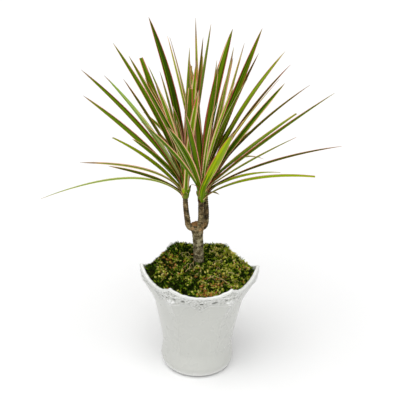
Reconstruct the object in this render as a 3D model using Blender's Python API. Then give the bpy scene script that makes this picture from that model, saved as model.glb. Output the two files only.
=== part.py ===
"""Potted madagascar dragon tree: a glazed six-sided pot with an embossed flared rim, filled with
soil under a mound of moss, and a short trunk that forks into three stems, each with a head of
sword leaves. Metres, +Z up, the front towards -Y. The origin is the centre of the pot's flat
underside."""

import math
from dataclasses import dataclass

import bmesh
import bpy
from mathutils import Vector
from mathutils.bvhtree import BVHTree

MM = 0.001
GAP = 0.3 * MM
UP = Vector((0, 0, 1))

# Pot: radius at the six corners and at the middle of the six sides, by height
CORNER_PROFILE = (
    (0.000, 0.0500),
    (0.003, 0.0565),
    (0.009, 0.0612),
    (0.018, 0.0632),
    (0.029, 0.0614),
    (0.042, 0.0594),
    (0.067, 0.0633),
    (0.102, 0.0707),
    (0.120, 0.0745),
    (0.131, 0.0803),
    (0.144, 0.0888),
    (0.158, 0.0964),
    (0.175, 0.0994),
    (0.190, 0.1004),
)
SIDE_PROFILE = (
    (0.000, 0.0500),
    (0.003, 0.0565),
    (0.009, 0.0612),
    (0.018, 0.0632),
    (0.029, 0.0614),
    (0.042, 0.0592),
    (0.067, 0.0622),
    (0.102, 0.0675),
    (0.120, 0.0700),
    (0.140, 0.0728),
    (0.152, 0.0760),
    (0.164, 0.0830),
    (0.174, 0.0886),
    (0.190, 0.0900),
)
POT_SIDES = 6
FIRST_CORNER = math.radians(32)
STEPS_PER_SIDE = 10
LIP_AT_SIDE = 0.171
LIP_AT_CORNER = 0.187
BAND_EDGE_AT_SIDE = 0.152
BAND_EDGE_AT_CORNER = 0.157
PENDANT_DROP = 0.013
PENDANT_HALF_SPAN = 0.32
BAND_RELIEF = 2.2 * MM
BAND_SHARES = (0.06, 0.5, 0.9)
POT_WALL = 4 * MM
POT_FLOOR = 9 * MM
BODY_RINGS = (0.0, 0.003, 0.009, 0.018, 0.029, 0.042, 0.067, 0.102, 0.124)
INSIDE_SHARES = (0.84, 0.56, 0.28, 0.0)
INSIDE_RINGS = (0.140, 0.122, 0.104, 0.060, 0.030, POT_FLOOR)

# Soil and moss inside the pot
SOIL_TOP = 0.140
SOIL_CLEAR_OF_POT = 1.4 * MM
SOIL_RINGS = (POT_FLOOR + GAP, 0.030, 0.060, 0.104, 0.122, SOIL_TOP)
MOSS_CLEAR_OF_POT = 0.6 * MM
MOSS_EDGE_SHARE = 0.84
MOSS_FOOT_SHARE = 0.28
MOSS_CROWN = 0.194
MOSS_ROUNDING = 2.4
MOSS_BACK_RISE = 0.009
MOSS_BACK_MOST = 0.011
MOSS_BACK_FROM = 0.06
MOSS_LUMPS = 1.8 * MM
MOSS_WAVES = ((150, 170), (310, -260))
MOSS_RINGS = 6
TRUNK_HOLE = 10.9 * MM

# Trunk and knuckle
TRUNK_PATH = (
    (-0.0005, 0.000, SOIL_TOP + GAP),
    (-0.0012, 0.000, 0.166),
    (-0.0018, 0.000, 0.190),
    (-0.0030, 0.000, 0.215),
    (-0.0048, 0.000, 0.240),
    (-0.0058, 0.000, 0.251),
    (-0.0062, 0.000, 0.259),
    (-0.0062, 0.000, 0.2632),
)
TRUNK_RADII = (0.0097, 0.0090, 0.0086, 0.0085, 0.0088, 0.0102, 0.0110, 0.0098)
TRUNK_SIDES = 14
LIMB_SIDES = 10

# The collars that grow out of the knuckle, each split from its bare stem where it has turned up
COLLAR_LEFT = (
    (-0.0080, 0.0000, 0.2540),
    (-0.0168, 0.0000, 0.2550),
    (-0.0212, 0.0000, 0.2605),
    (-0.0224, 0.0000, 0.2680),
)
COLLAR_FRONT = (
    (-0.0040, -0.0030, 0.2550),
    (-0.0012, -0.0050, 0.2615),
    (-0.0006, -0.0058, 0.2690),
)
COLLAR_BACK = (
    (-0.0020, 0.0020, 0.2530),
    (0.0046, 0.0055, 0.2555),
    (0.0074, 0.0070, 0.2610),
    (0.0079, 0.0072, 0.2690),
)
COLLAR_STEPS = 3


@dataclass(frozen=True)
class Head:
    """A stem's top, where its rosette of leaves starts, and the radius of the stem there."""

    name: str
    collar: tuple
    collar_radius: float
    top: tuple
    radius: float


HEADS = (
    Head("left", COLLAR_LEFT, 0.0048, (-0.0268, 0.0000, 0.3080), 0.0041),
    Head("front", COLLAR_FRONT, 0.0052, (-0.0012, -0.0062, 0.3050), 0.0046),
    Head("back", COLLAR_BACK, 0.0048, (0.0054, 0.0078, 0.3130), 0.0043),
)
STEM_RINGS = 6

# Rosettes: each head carries three tiers of leaves, one above the other
TIER_NAMES = ("lower", "middle", "top")
TIER_HEIGHTS = (0.016, 0.017, 0.034)
TIER_CORE_RADII = (0.0052, 0.0050, 0.0046)
TIER_ELEVATIONS = (-25.0, 24.0, 56.0, 90.0)
HEAD_MIDDLE = 0.020
SPINDLE_SHARE = 0.3
CORE_SIDES = 10
ROOT_DEPTH = 2.6 * MM
LOWEST_ROOT = 2.0 * MM
ROOT_ROOM = (5.5 * MM, 10.0 * MM, 18.0 * MM)

# Leaf blades
BLADE_WIDTH = 11.0 * MM
BLADE_THICK_SHARE = 0.0115
BLADE_STEPS = 7
BEND_AT = 0.42
ROOT_WIDTH_SHARE = 0.5
FULL_WIDTH_AT = 0.35
POINT_POWERS = (2.4, 0.85)
THIN_END_SHARE = 0.45
THINNEST_BLADE = 0.4 * MM
LIGHT = Vector((0.0, -1.0, 0.6))
LIGHT_TURN = 0.7
TURNED_AT = 0.5
CLEARANCE = 0.5 * MM
GOLDEN_ANGLE = math.radians(137.508)
RULE_LEAVES = 40
RULE_LENGTH = 0.235
RULE_LENGTH_SWING = 0.08
RULE_SHORTENING = 0.15
RULE_LOWEST = 8.0
RULE_STEEPEST = 84.0
RULE_STEEPENING = 0.8
RULE_SWING = 5.0
HEAD_TURN = 2.1
RULE_ARCH = (0.02, 0.06)
SIDE_SECTOR = 0.55
SIDE_SECTOR_BELOW = 66.0
FRONT_SECTOR = 0.45
FRONT_SECTOR_BELOW = 40.0
PARTING = (0.001, 0.034)
PARTING_ABOVE = 0.45
NUDGES = (0, 6, -6, 12, -12, 18, -18, 25, -25, 32, -32)


@dataclass(frozen=True)
class Marked:
    """A leaf that stands out in the crown's outline, by where its tip is. Millimetres: across to
    the right, back from the trunk, up from the underside, then how far it arches over the straight
    line to its tip and how wide it is. A cut leaf ends square."""

    head: str
    across: float
    back: float
    up: float
    arch: float
    width: float = 11.0
    cut: bool = False


MARKED_LEAVES = (
    Marked("left", -267, 20, 290, 29, 8.5),
    Marked("left", -202, 30, 352, 18, 5.5),
    Marked("left", -165, 100, 323, 15, 6.5),
    Marked("left", -154, 80, 381, 10, 9, cut=True),
    Marked("left", -205, 100, 447, 10),
    Marked("left", -188, -10, 514, 10),
    Marked("left", -170, 110, 480, 12, 11),
    Marked("left", -117, -80, 518, 12, 5.5),
    Marked("left", -147, 50, 545, 9, 9.5),
    Marked("left", -112, -50, 545, 3, 10),
    Marked("left", -105, 70, 519, 0, 12, cut=True),
    Marked("left", -89, 20, 591, 9, 12),
    Marked("left", -64, 95, 551, 4, 6),
    Marked("left", -56, 10, 563, 5, 5),
    Marked("left", -6, 20, 562, 2, 6),
    Marked("left", 6, 105, 568, 2, 6),
    Marked("front", -25, -30, 556, 3, 5),
    Marked("front", -19, 75, 584, 4, 6),
    Marked("front", 15, -60, 545, 4, 8),
    Marked("front", 39, 40, 574, 6, 12.5),
    Marked("front", 84, 35, 577, 0, 13),
    Marked("front", 107, -45, 517, 5, 9),
    Marked("front", 193, -25, 494, 6, 11.5),
    Marked("front", 138, -50, 431, 4, 6.5),
    Marked("front", 175, -30, 362, 15, 7, cut=True),
    Marked("front", 38, -180, 474, 8, 12),
    Marked("front", -86, -140, 473, 6, 8),
    Marked("back", 42, 30, 548, 3, 6),
    Marked("back", 63, 120, 539, 5, 5.5),
    Marked("back", 83, 80, 534, 5, 6),
    Marked("back", 126, 75, 536, 14, 8),
    Marked("back", 141, 115, 507, 12, 5.5),
    Marked("back", 126, 45, 491, 5, 9),
    Marked("back", 168, 60, 486, 7, 6),
    Marked("back", 156, 105, 426, 4, 8, cut=True),
    Marked("back", 112, 180, 318, 26, 6),
    Marked("back", 228, 50, 388, 12, 6),
    Marked("back", 138, 120, 314, 13, 8, cut=True),
)


def finish(name, colour, roughness):
    """One named finish with the piece's own colour and roughness."""
    look = bpy.data.materials.new(name)
    look.use_nodes = True
    shader = look.node_tree.nodes["Principled BSDF"]
    shader.inputs["Base Color"].default_value = (*colour, 1)
    shader.inputs["Roughness"].default_value = roughness
    shader.inputs["Metallic"].default_value = 0
    return look


def add_piece(name, body, look, collection=None):
    """Turns a bmesh into a named object that wears a finish, shaded smooth but for its creases."""
    bmesh.ops.recalc_face_normals(body, faces=body.faces)
    mesh = bpy.data.meshes.new(name)
    body.to_mesh(mesh)
    body.free()
    mesh.materials.append(look)
    mesh.shade_smooth()
    mesh.set_sharp_from_angle(angle=math.radians(40))
    piece = bpy.data.objects.new(name, mesh)
    (collection or bpy.context.scene.collection).objects.link(piece)
    return piece


def skin(body, rings, cap_first=True, cap_last=True):
    """Joins rings of points, which may end in a single point, by faces into one closed skin."""
    rows = [[body.verts.new(point) for point in ring] for ring in rings]
    for low, high in zip(rows, rows[1:]):
        count = len(low)
        for i in range(count):
            j = (i + 1) % count
            if len(high) == 1:
                body.faces.new((low[i], low[j], high[0]))
            else:
                body.faces.new((low[i], low[j], high[j], high[i]))
    if cap_first:
        body.faces.new(reversed(rows[0]))
    if cap_last and len(rows[-1]) > 2:
        body.faces.new(rows[-1])
    return rows


def between(table, height):
    """Reads a table of (height, radius) with straight runs between its rows."""
    for (low, first), (high, second) in zip(table, table[1:]):
        if height <= high:
            return first + (second - first) * (height - low) / (high - low)
    return table[-1][1]


def along_side(angle):
    """Where an angle falls on its side of the pot: 0 at the middle, 1 at a corner."""
    span = 2 * math.pi / POT_SIDES
    offset = (angle - FIRST_CORNER) % span - span / 2
    return abs(math.tan(offset) / math.tan(span / 2))


def pot_radius(angle, height):
    """The pot's outer radius: flat sides between six corners where the two profiles differ."""
    half = math.pi / POT_SIDES
    reach = along_side(angle) * math.tan(half)
    cornering = (math.hypot(1, reach) - 1) / (1 / math.cos(half) - 1)
    side = between(SIDE_PROFILE, height)
    return side + (between(CORNER_PROFILE, height) - side) * cornering


def lip_height(angle):
    """The lip's top, which rises to a point at each corner."""
    return LIP_AT_SIDE + (LIP_AT_CORNER - LIP_AT_SIDE) * along_side(angle) ** 2


def under_lip(angle, share):
    """A height inside the flared part of the pot, from 0 at its foot to 1 at the lip."""
    return BAND_EDGE_AT_SIDE + share * (lip_height(angle) - BAND_EDGE_AT_SIDE)


def band_edge(angle):
    """The lower edge of the embossed band, with a pendant at the middle of each side."""
    place = along_side(angle)
    edge = BAND_EDGE_AT_SIDE + (BAND_EDGE_AT_CORNER - BAND_EDGE_AT_SIDE) * place**2
    return edge - PENDANT_DROP * max(0.0, 1 - place / PENDANT_HALF_SPAN)


def around():
    """The angles of the points that go round the pot, its soil and its moss."""
    steps = POT_SIDES * STEPS_PER_SIDE
    return [2 * math.pi * i / steps for i in range(steps)]


def at_angle(angle, radius, height):
    """A point by its angle round the pot's axis, counted from the front."""
    return Vector((radius * math.sin(angle), -radius * math.cos(angle), height))


def pot_ring(angles, heights, outward):
    """A ring of points that follows the pot's outside, set outward or, below 0, inward of it."""
    return [at_angle(a, pot_radius(a, z) + outward, z) for a, z in zip(angles, heights)]


def pot(look):
    """The hollow pot: foot, waist and flared body, raised band, lip, inner wall and floor."""
    angles = around()
    rings = [pot_ring(angles, [height] * len(angles), 0) for height in BODY_RINGS]
    rings.append(pot_ring(angles, [band_edge(a) for a in angles], 0))
    for share in BAND_SHARES:
        heights = [band_edge(a) + share * (lip_height(a) - band_edge(a)) for a in angles]
        rings.append(pot_ring(angles, heights, BAND_RELIEF))
    lip = [lip_height(a) for a in angles]
    rings.append(pot_ring(angles, lip, 0))
    rings.append(pot_ring(angles, lip, -POT_WALL))
    for share in INSIDE_SHARES:
        rings.append(pot_ring(angles, [under_lip(a, share) for a in angles], -POT_WALL))
    for height in INSIDE_RINGS:
        rings.append(pot_ring(angles, [height] * len(angles), -POT_WALL))
    body = bmesh.new()
    skin(body, rings)
    return add_piece("pot", body, look)


def potting_soil(look):
    """The fill of the pot, with a flat top under the moss."""
    angles = around()
    inset = POT_WALL + SOIL_CLEAR_OF_POT
    rings = [pot_ring(angles, [height] * len(angles), -inset) for height in SOIL_RINGS]
    body = bmesh.new()
    skin(body, rings)
    return add_piece("potting_soil", body, look)


def moss_height(x, y, edge, share):
    """The mound's top at a point. share runs from 0 at the trunk to 1 at the pot's wall."""
    dome = edge + (MOSS_CROWN - edge) * (1 - share**MOSS_ROUNDING)
    behind = min(MOSS_BACK_RISE * max(0.0, y / MOSS_BACK_FROM), MOSS_BACK_MOST) * (1 - share**4)
    broad, fine = MOSS_WAVES
    lumps = math.sin(broad[0] * x + 1.1) * math.cos(broad[1] * y + 0.4)
    lumps += 0.6 * math.sin(fine[0] * x + fine[1] * y)
    return dome + behind + MOSS_LUMPS * lumps * (1 - share**6)


def moss(look):
    """A lumpy mound of moss over the soil, open round the trunk."""
    angles = around()
    steps = len(angles)
    centre = Vector((TRUNK_PATH[1][0], TRUNK_PATH[1][1], 0))
    floor = SOIL_TOP + GAP
    inset = POT_WALL + MOSS_CLEAR_OF_POT
    hole = [centre + at_angle(a, TRUNK_HOLE, floor) for a in angles]
    rings = [hole]
    for k in range(MOSS_RINGS + 1):
        share = k / MOSS_RINGS
        ring = []
        for a, inner in zip(angles, hole):
            edge = under_lip(a, MOSS_EDGE_SHARE)
            spot = inner.lerp(at_angle(a, pot_radius(a, edge) - inset, 0), share)
            ring.append(Vector((spot.x, spot.y, moss_height(spot.x, spot.y, edge, share))))
        rings.append(ring)
    for share in (MOSS_FOOT_SHARE, 0.0):
        rings.append(pot_ring(angles, [under_lip(a, share) for a in angles], -inset))
    rings.append(pot_ring(angles, [floor] * steps, -inset))
    body = bmesh.new()
    rows = skin(body, rings, cap_first=False, cap_last=False)
    for i in range(steps):
        j = (i + 1) % steps
        body.faces.new((rows[-1][i], rows[-1][j], rows[0][j], rows[0][i]))
    return add_piece("moss", body, look)


def tube(path, radii, sides, first_way=None, last_way=None):
    """A limb: a round tube of changing radius along a path, with flat ends square to it or to
    the ways given for them."""
    points = [Vector(p) for p in path]
    rings = []
    side = Vector((1, 0, 0))
    for i, (point, radius) in enumerate(zip(points, radii)):
        ahead = (points[min(i + 1, len(points) - 1)] - points[max(i - 1, 0)]).normalized()
        if i == 0 and first_way:
            ahead = first_way
        if i == len(points) - 1 and last_way:
            ahead = last_way
        side = (side - ahead * side.dot(ahead)).normalized()
        other = ahead.cross(side)
        turns = [2 * math.pi * k / sides for k in range(sides)]
        rings.append([point + radius * (math.cos(t) * side + math.sin(t) * other) for t in turns])
    body = bmesh.new()
    skin(body, rings)
    return body


def drop_scraps(mesh):
    """Keeps a mesh's largest skin and deletes loose scraps and the skins of sealed hollows."""
    body = bmesh.new()
    body.from_mesh(mesh)
    bmesh.ops.triangulate(body, faces=body.faces)
    skins = []
    waiting = set(body.faces)
    while waiting:
        found = [waiting.pop()]
        for face in found:
            near = {other for edge in face.edges for other in edge.link_faces} & waiting
            waiting -= near
            found.extend(near)
        skins.append(found)
    skins.sort(key=len)
    for scrap in skins[:-1]:
        bmesh.ops.delete(body, geom=scrap, context="FACES")
    body.to_mesh(mesh)
    body.free()


def fuse(name, first, others):
    """Joins loose pieces to the first by one union, and removes them."""
    group = bpy.data.collections.new(f"{name}_parts")
    for piece in others:
        group.objects.link(piece)
    join = first.modifiers.new("join", "BOOLEAN")
    join.operation = "UNION"
    join.operand_type = "COLLECTION"
    join.collection = group
    join.solver = "MANIFOLD"
    graph = bpy.context.evaluated_depsgraph_get()
    joined = bpy.data.meshes.new_from_object(first.evaluated_get(graph))
    first.modifiers.clear()
    drop_scraps(joined)
    first.data = joined
    joined.name = name
    first.name = name
    for piece in others:
        bpy.data.objects.remove(piece)
    bpy.data.collections.remove(group)
    return first


def smooth_path(corners, steps):
    """Points along a curve that passes through each corner of a route."""
    points = [Vector(c) for c in corners]
    guides = [2 * points[0] - points[1], *points, 2 * points[-1] - points[-2]]
    out = []
    for a, b, c, d in zip(guides, guides[1:], guides[2:], guides[3:]):
        bend = 2 * a - 5 * b + 4 * c - d
        twist = 3 * b - a - 3 * c + d
        for k in range(steps):
            t = k / steps
            out.append(0.5 * (2 * b + (c - a) * t + bend * t**2 + twist * t**3))
    out.append(points[-1])
    return out


def collar_way(head):
    """The way a stem leaves the end of its collar."""
    return (Vector(head.collar[-1]) - Vector(head.collar[-2])).normalized()


def trunk(look):
    """The trunk from its flat cut on the soil to the knuckle, with the three stems' collars."""
    column = add_piece("trunk", tube(TRUNK_PATH, TRUNK_RADII, TRUNK_SIDES), look)
    collars = []
    for head in HEADS:
        path = smooth_path(head.collar, COLLAR_STEPS)
        radii = [head.collar_radius] * len(path)
        collar = tube(path, radii, LIMB_SIDES, last_way=collar_way(head))
        collars.append(add_piece(f"collar_{head.name}", collar, look))
    return fuse("trunk", column, collars)


def stem(head, look):
    """A bare stem from 0.3 mm off its collar to the foot of its head of leaves."""
    lead = collar_way(head)
    start = Vector(head.collar[-1]) + lead * GAP
    top = Vector(head.top)
    pull = (top - start).length / 3
    guides = (start, start + lead * pull, top - UP * pull, top)
    places = [i / STEM_RINGS for i in range(STEM_RINGS + 1)]
    path = [bezier(guides, place) for place in places]
    taper = head.radius - head.collar_radius
    radii = [head.collar_radius + taper * place for place in places]
    return add_piece(f"stem_{head.name}", tube(path, radii, LIMB_SIDES, lead, UP), look)


def bezier(guides, t):
    """The point at t on the curve that a row of guide points shapes."""
    points = list(guides)
    while len(points) > 1:
        points = [a.lerp(b, t) for a, b in zip(points, points[1:])]
    return points[0]


def blade_width(place, width, cut):
    """A blade's width by how far along it is: narrow at the root, then full, then to a point."""
    rise = min(1.0, ROOT_WIDTH_SHARE + (1 - ROOT_WIDTH_SHARE) * place / FULL_WIDTH_AT)
    if cut:
        return width * rise
    return width * rise * (1 - place ** POINT_POWERS[0]) ** POINT_POWERS[1]


def blade_path(root, tip, arch, steps):
    """Points from a leaf's root to its tip, arched over the straight line between them."""
    chord = tip - root
    level = UP.cross(chord)
    over = chord.cross(level).normalized() if level.length > 1e-6 else Vector((0, 1, 0))
    bend = root + chord * BEND_AT + over * (2 * arch)
    return [bezier((root, bend, tip), i / steps) for i in range(steps + 1)]


def blade_rings(root, tip, arch, width, cut, extra=0.0):
    """A leaf as three-sided rings: two edges and the keel. extra thickens it all round."""
    path = blade_path(root, tip, arch, BLADE_STEPS)
    length = (tip - root).length
    flat = Vector((tip.x - root.x, tip.y - root.y, 0))
    rings = []
    for i, point in enumerate(path):
        place = i / BLADE_STEPS
        ahead = (path[min(i + 1, BLADE_STEPS)] - path[max(i - 1, 0)]).normalized()
        face = ahead.cross(flat.cross(UP)).normalized() if flat.length > 1e-6 else Vector((0, -1, 0))
        if face.z < 0:
            face = -face
        face = face + LIGHT * LIGHT_TURN * min(1.0, place / TURNED_AT)
        face = (face - ahead * face.dot(ahead)).normalized()
        edge = ahead.cross(face)
        if i == BLADE_STEPS and not cut:
            rings.append([point + ahead * extra])
            continue
        across = blade_width(place, width, cut)
        half = across / 2 + extra
        thick = length * BLADE_THICK_SHARE * (THIN_END_SHARE + (1 - THIN_END_SHARE) * across / width)
        thick = max(thick, THINNEST_BLADE) + 2 * extra
        top = point + face * (thick / 3)
        rings.append([top - edge * half, top + edge * half, point - face * (thick * 2 / 3)])
    return rings


def blade_mesh(rings):
    """A closed bmesh of one leaf."""
    body = bmesh.new()
    skin(body, rings)
    bmesh.ops.triangulate(body, faces=body.faces)
    return body


def elevation_of(head, tip):
    """How steeply a leaf rises from the middle of its head, in degrees."""
    way = tip - (Vector(head.top) + UP * HEAD_MIDDLE)
    return math.degrees(math.atan2(way.z, math.hypot(way.x, way.y)))


def tier_of(elevation):
    """Which tier a leaf of this elevation grows from."""
    for tier in range(len(TIER_NAMES)):
        if elevation < TIER_ELEVATIONS[tier + 1]:
            return tier
    return len(TIER_NAMES) - 1


def tier_foot(head, tier):
    """The foot of a tier's core on the head's axis."""
    below = sum(TIER_HEIGHTS[:tier]) + GAP * (tier + 1)
    return Vector(head.top) + UP * below


def leaf_root(head, tip):
    """Where a leaf's root lies, sunk in its tier's core on the side it grows to."""
    elevation = elevation_of(head, tip)
    tier = tier_of(elevation)
    low, high = TIER_ELEVATIONS[tier], TIER_ELEVATIONS[tier + 1]
    share = min(max((elevation - low) / (high - low), 0.0), 1.0)
    usable = TIER_HEIGHTS[tier] - ROOT_ROOM[tier] - LOWEST_ROOT
    foot = tier_foot(head, tier)
    way = Vector((tip.x - foot.x, tip.y - foot.y, 0)).normalized()
    return tier, foot + UP * (LOWEST_ROOT + usable * share) + way * (TIER_CORE_RADII[tier] - ROOT_DEPTH)


def search_tree(body):
    """A search tree of a bmesh's faces, which frees the bmesh."""
    tree = BVHTree.FromBMesh(body)
    body.free()
    return tree


def core(head, tier):
    """The leafy top of a stem that one tier's leaves grow from. The top one ends in a spindle."""
    foot = tier_foot(head, tier)
    height = TIER_HEIGHTS[tier]
    radius = TIER_CORE_RADII[tier]
    last = tier == len(TIER_NAMES) - 1
    radii = (radius, radius * 0.98, radius * (SPINDLE_SHARE if last else 0.97))
    return tube([foot + UP * height * share for share in (0.0, 0.6, 1.0)], radii, CORE_SIDES)


def rule_leaves(head, turn):
    """The leaves that follow the rosette's rule, each a golden angle on and steeper than the last,
    as (azimuth, elevation, length). The sides, which the marked leaves fill one by one, and the
    front below a rising line are left open."""
    found = []
    for i in range(RULE_LEAVES):
        share = (i + 0.5) / RULE_LEAVES
        azimuth = i * GOLDEN_ANGLE + turn * HEAD_TURN
        spread = RULE_LOWEST + (RULE_STEEPEST - RULE_LOWEST) * share**RULE_STEEPENING
        elevation = spread + RULE_SWING * math.sin(i * 2.7 + turn)
        change = RULE_LENGTH_SWING * math.sin(i * 1.9 + 2 * turn) - RULE_SHORTENING * share
        length = RULE_LENGTH * (1 + change)
        at_side = abs(math.sin(azimuth)) > SIDE_SECTOR and elevation < SIDE_SECTOR_BELOW
        at_front = math.cos(azimuth) > FRONT_SECTOR and elevation < FRONT_SECTOR_BELOW
        if not at_side and not at_front:
            found.append((azimuth, math.radians(elevation), length))
    return found


def in_parting(tip):
    """True where the crown parts above the trunk and shows the sky."""
    return PARTING[0] < tip.x < PARTING[1] and tip.z > PARTING_ABOVE


def candidates():
    """Every leaf that may grow, the marked ones first: its head, then where its tip may lie, the
    wanted place first, and its arch, width and end."""
    by_name = {head.name: head for head in HEADS}
    for leaf in MARKED_LEAVES:
        tips = [Vector((leaf.across, leaf.back + nudge, leaf.up)) * MM for nudge in NUDGES]
        yield by_name[leaf.head], tips, leaf.arch * MM, leaf.width * MM, leaf.cut
    for turn, head in enumerate(HEADS):
        middle = Vector(head.top) + UP * HEAD_MIDDLE
        for azimuth, elevation, length in rule_leaves(head, turn):
            reach = length * math.cos(elevation)
            rise = length * math.sin(elevation)
            tips = [middle + at_angle(azimuth + math.radians(nudge), reach, rise) for nudge in NUDGES]
            tips = [tip for tip in tips if not in_parting(tip)]
            arch = RULE_ARCH[0] * length + RULE_ARCH[1] * reach
            yield head, tips, arch, BLADE_WIDTH, False


def grow():
    """The rings of every leaf that grows, by its head and tier. One that would touch a limb or
    another tier at all its places is skipped."""
    graph = bpy.context.evaluated_depsgraph_get()
    names = ("trunk", *(f"stem_{head.name}" for head in HEADS))
    limbs = [BVHTree.FromObject(bpy.data.objects[name], graph) for name in names]
    tiers = {(head.name, tier): [] for head in HEADS for tier in range(len(TIER_NAMES))}
    taken = {key: [] for key in tiers}
    for head in HEADS:
        for tier in range(len(TIER_NAMES)):
            taken[head.name, tier].append(search_tree(core(head, tier)))
    for head, tips, arch, width, cut in candidates():
        for tip in tips:
            tier, root = leaf_root(head, tip)
            key = (head.name, tier)
            guard = search_tree(blade_mesh(blade_rings(root, tip, arch, width, cut, CLEARANCE)))
            others = [tree for other, trees in taken.items() if other != key for tree in trees]
            if any(guard.overlap(tree) for tree in limbs + others):
                continue
            rings = blade_rings(root, tip, arch, width, cut)
            tiers[key].append(rings)
            taken[key].append(search_tree(blade_mesh(rings)))
            break
    return tiers


def leaves(look):
    """Each tier of each head as one piece: its core with its leaves fused on."""
    for (head_name, tier), grown in grow().items():
        head = next(head for head in HEADS if head.name == head_name)
        name = f"leaves_{head_name}_{TIER_NAMES[tier]}"
        first = add_piece(name, core(head, tier), look)
        blades = [add_piece(f"blade_{i}", blade_mesh(rings), look) for i, rings in enumerate(grown)]
        fuse(name, first, blades)


def main():
    """Clears the scene and builds the plant from the pot up."""
    for thing in list(bpy.data.objects):
        bpy.data.objects.remove(thing)
    glaze = finish("white_glaze", (0.72, 0.73, 0.71), 0.18)
    earth = finish("potting_soil", (0.05, 0.035, 0.025), 0.95)
    green_moss = finish("moss", (0.11, 0.16, 0.03), 0.9)
    bark = finish("bark", (0.23, 0.17, 0.11), 0.85)
    leaf = finish("leaf", (0.12, 0.22, 0.04), 0.45)
    pot(glaze)
    potting_soil(earth)
    moss(green_moss)
    trunk(bark)
    for head in HEADS:
        stem(head, bark)
    leaves(leaf)


main()
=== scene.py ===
"""The looks of a potted madagascar dragon tree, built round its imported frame.

Metres, +Z up, the front towards -Y. The pot, the moss, the bark and the leaves are finer meshes that
replace the frame's plain solids and keep to their sizes and places.
"""

from __future__ import annotations

import logging
import math
import random
from collections.abc import Iterator, Sequence
from dataclasses import dataclass, field
from enum import Enum
from typing import Any

import bpy
import numpy as np
from mathutils import Matrix, Vector, noise
from mathutils.bvhtree import BVHTree

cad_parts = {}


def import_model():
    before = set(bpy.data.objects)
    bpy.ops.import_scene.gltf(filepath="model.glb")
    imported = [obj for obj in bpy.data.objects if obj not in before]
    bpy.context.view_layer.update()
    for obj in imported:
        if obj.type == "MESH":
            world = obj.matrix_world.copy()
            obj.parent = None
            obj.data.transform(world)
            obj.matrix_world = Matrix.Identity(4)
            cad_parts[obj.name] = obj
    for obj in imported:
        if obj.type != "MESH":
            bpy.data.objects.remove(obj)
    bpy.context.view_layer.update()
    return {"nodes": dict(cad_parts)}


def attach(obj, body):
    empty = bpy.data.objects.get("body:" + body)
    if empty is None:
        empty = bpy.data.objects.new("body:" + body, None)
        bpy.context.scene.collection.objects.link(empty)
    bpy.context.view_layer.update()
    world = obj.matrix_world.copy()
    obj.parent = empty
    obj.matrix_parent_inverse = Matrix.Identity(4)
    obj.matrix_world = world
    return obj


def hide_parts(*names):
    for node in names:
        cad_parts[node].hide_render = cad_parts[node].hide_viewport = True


LOG = logging.getLogger("dragon_tree")
MM = 0.001
GAP = 0.3 * MM
UP = Vector((0.0, 0.0, 1.0))
GOLDEN_ANGLE = math.radians(137.508)
RELIEF = "relief"
Colour = tuple[float, float, float]
Point = tuple[float, float, float]
Pair = tuple[float, float]


# Shader maths


class Signal:
    """A shader socket that can stand in Python sums."""

    def __init__(self, shader: Shader, socket: bpy.types.NodeSocket) -> None:
        """Keeps the socket and the shader it belongs to."""
        self.shader = shader
        self.socket = socket

    def __add__(self, other: Signal | float) -> Signal:
        """This value plus another."""
        return self.shader.maths("ADD", self, other)

    __radd__ = __add__

    def __sub__(self, other: Signal | float) -> Signal:
        """This value less another."""
        return self.shader.maths("SUBTRACT", self, other)

    def __rsub__(self, other: Signal | float) -> Signal:
        """Another value less this one."""
        return self.shader.maths("SUBTRACT", other, self)

    def __mul__(self, other: Signal | float) -> Signal:
        """This value times another."""
        return self.shader.maths("MULTIPLY", self, other)

    __rmul__ = __mul__

    def __abs__(self) -> Signal:
        """This value without its sign."""
        return self.shader.maths("ABSOLUTE", self, 0.0)

    def clamped(self) -> Signal:
        """This value kept between 0 and 1."""
        return self.shader.maths("MINIMUM", self.shader.maths("MAXIMUM", self, 0.0), 1.0)

    def above(self, start: float, slope: float) -> Signal:
        """A mask that is 0 up to a start value and then rises by a slope to 1."""
        return ((self - start) * slope).clamped()

    def below(self, start: float, slope: float) -> Signal:
        """A mask that is 0 down to a start value and then rises by a slope to 1."""
        return ((start - self) * slope).clamped()


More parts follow.
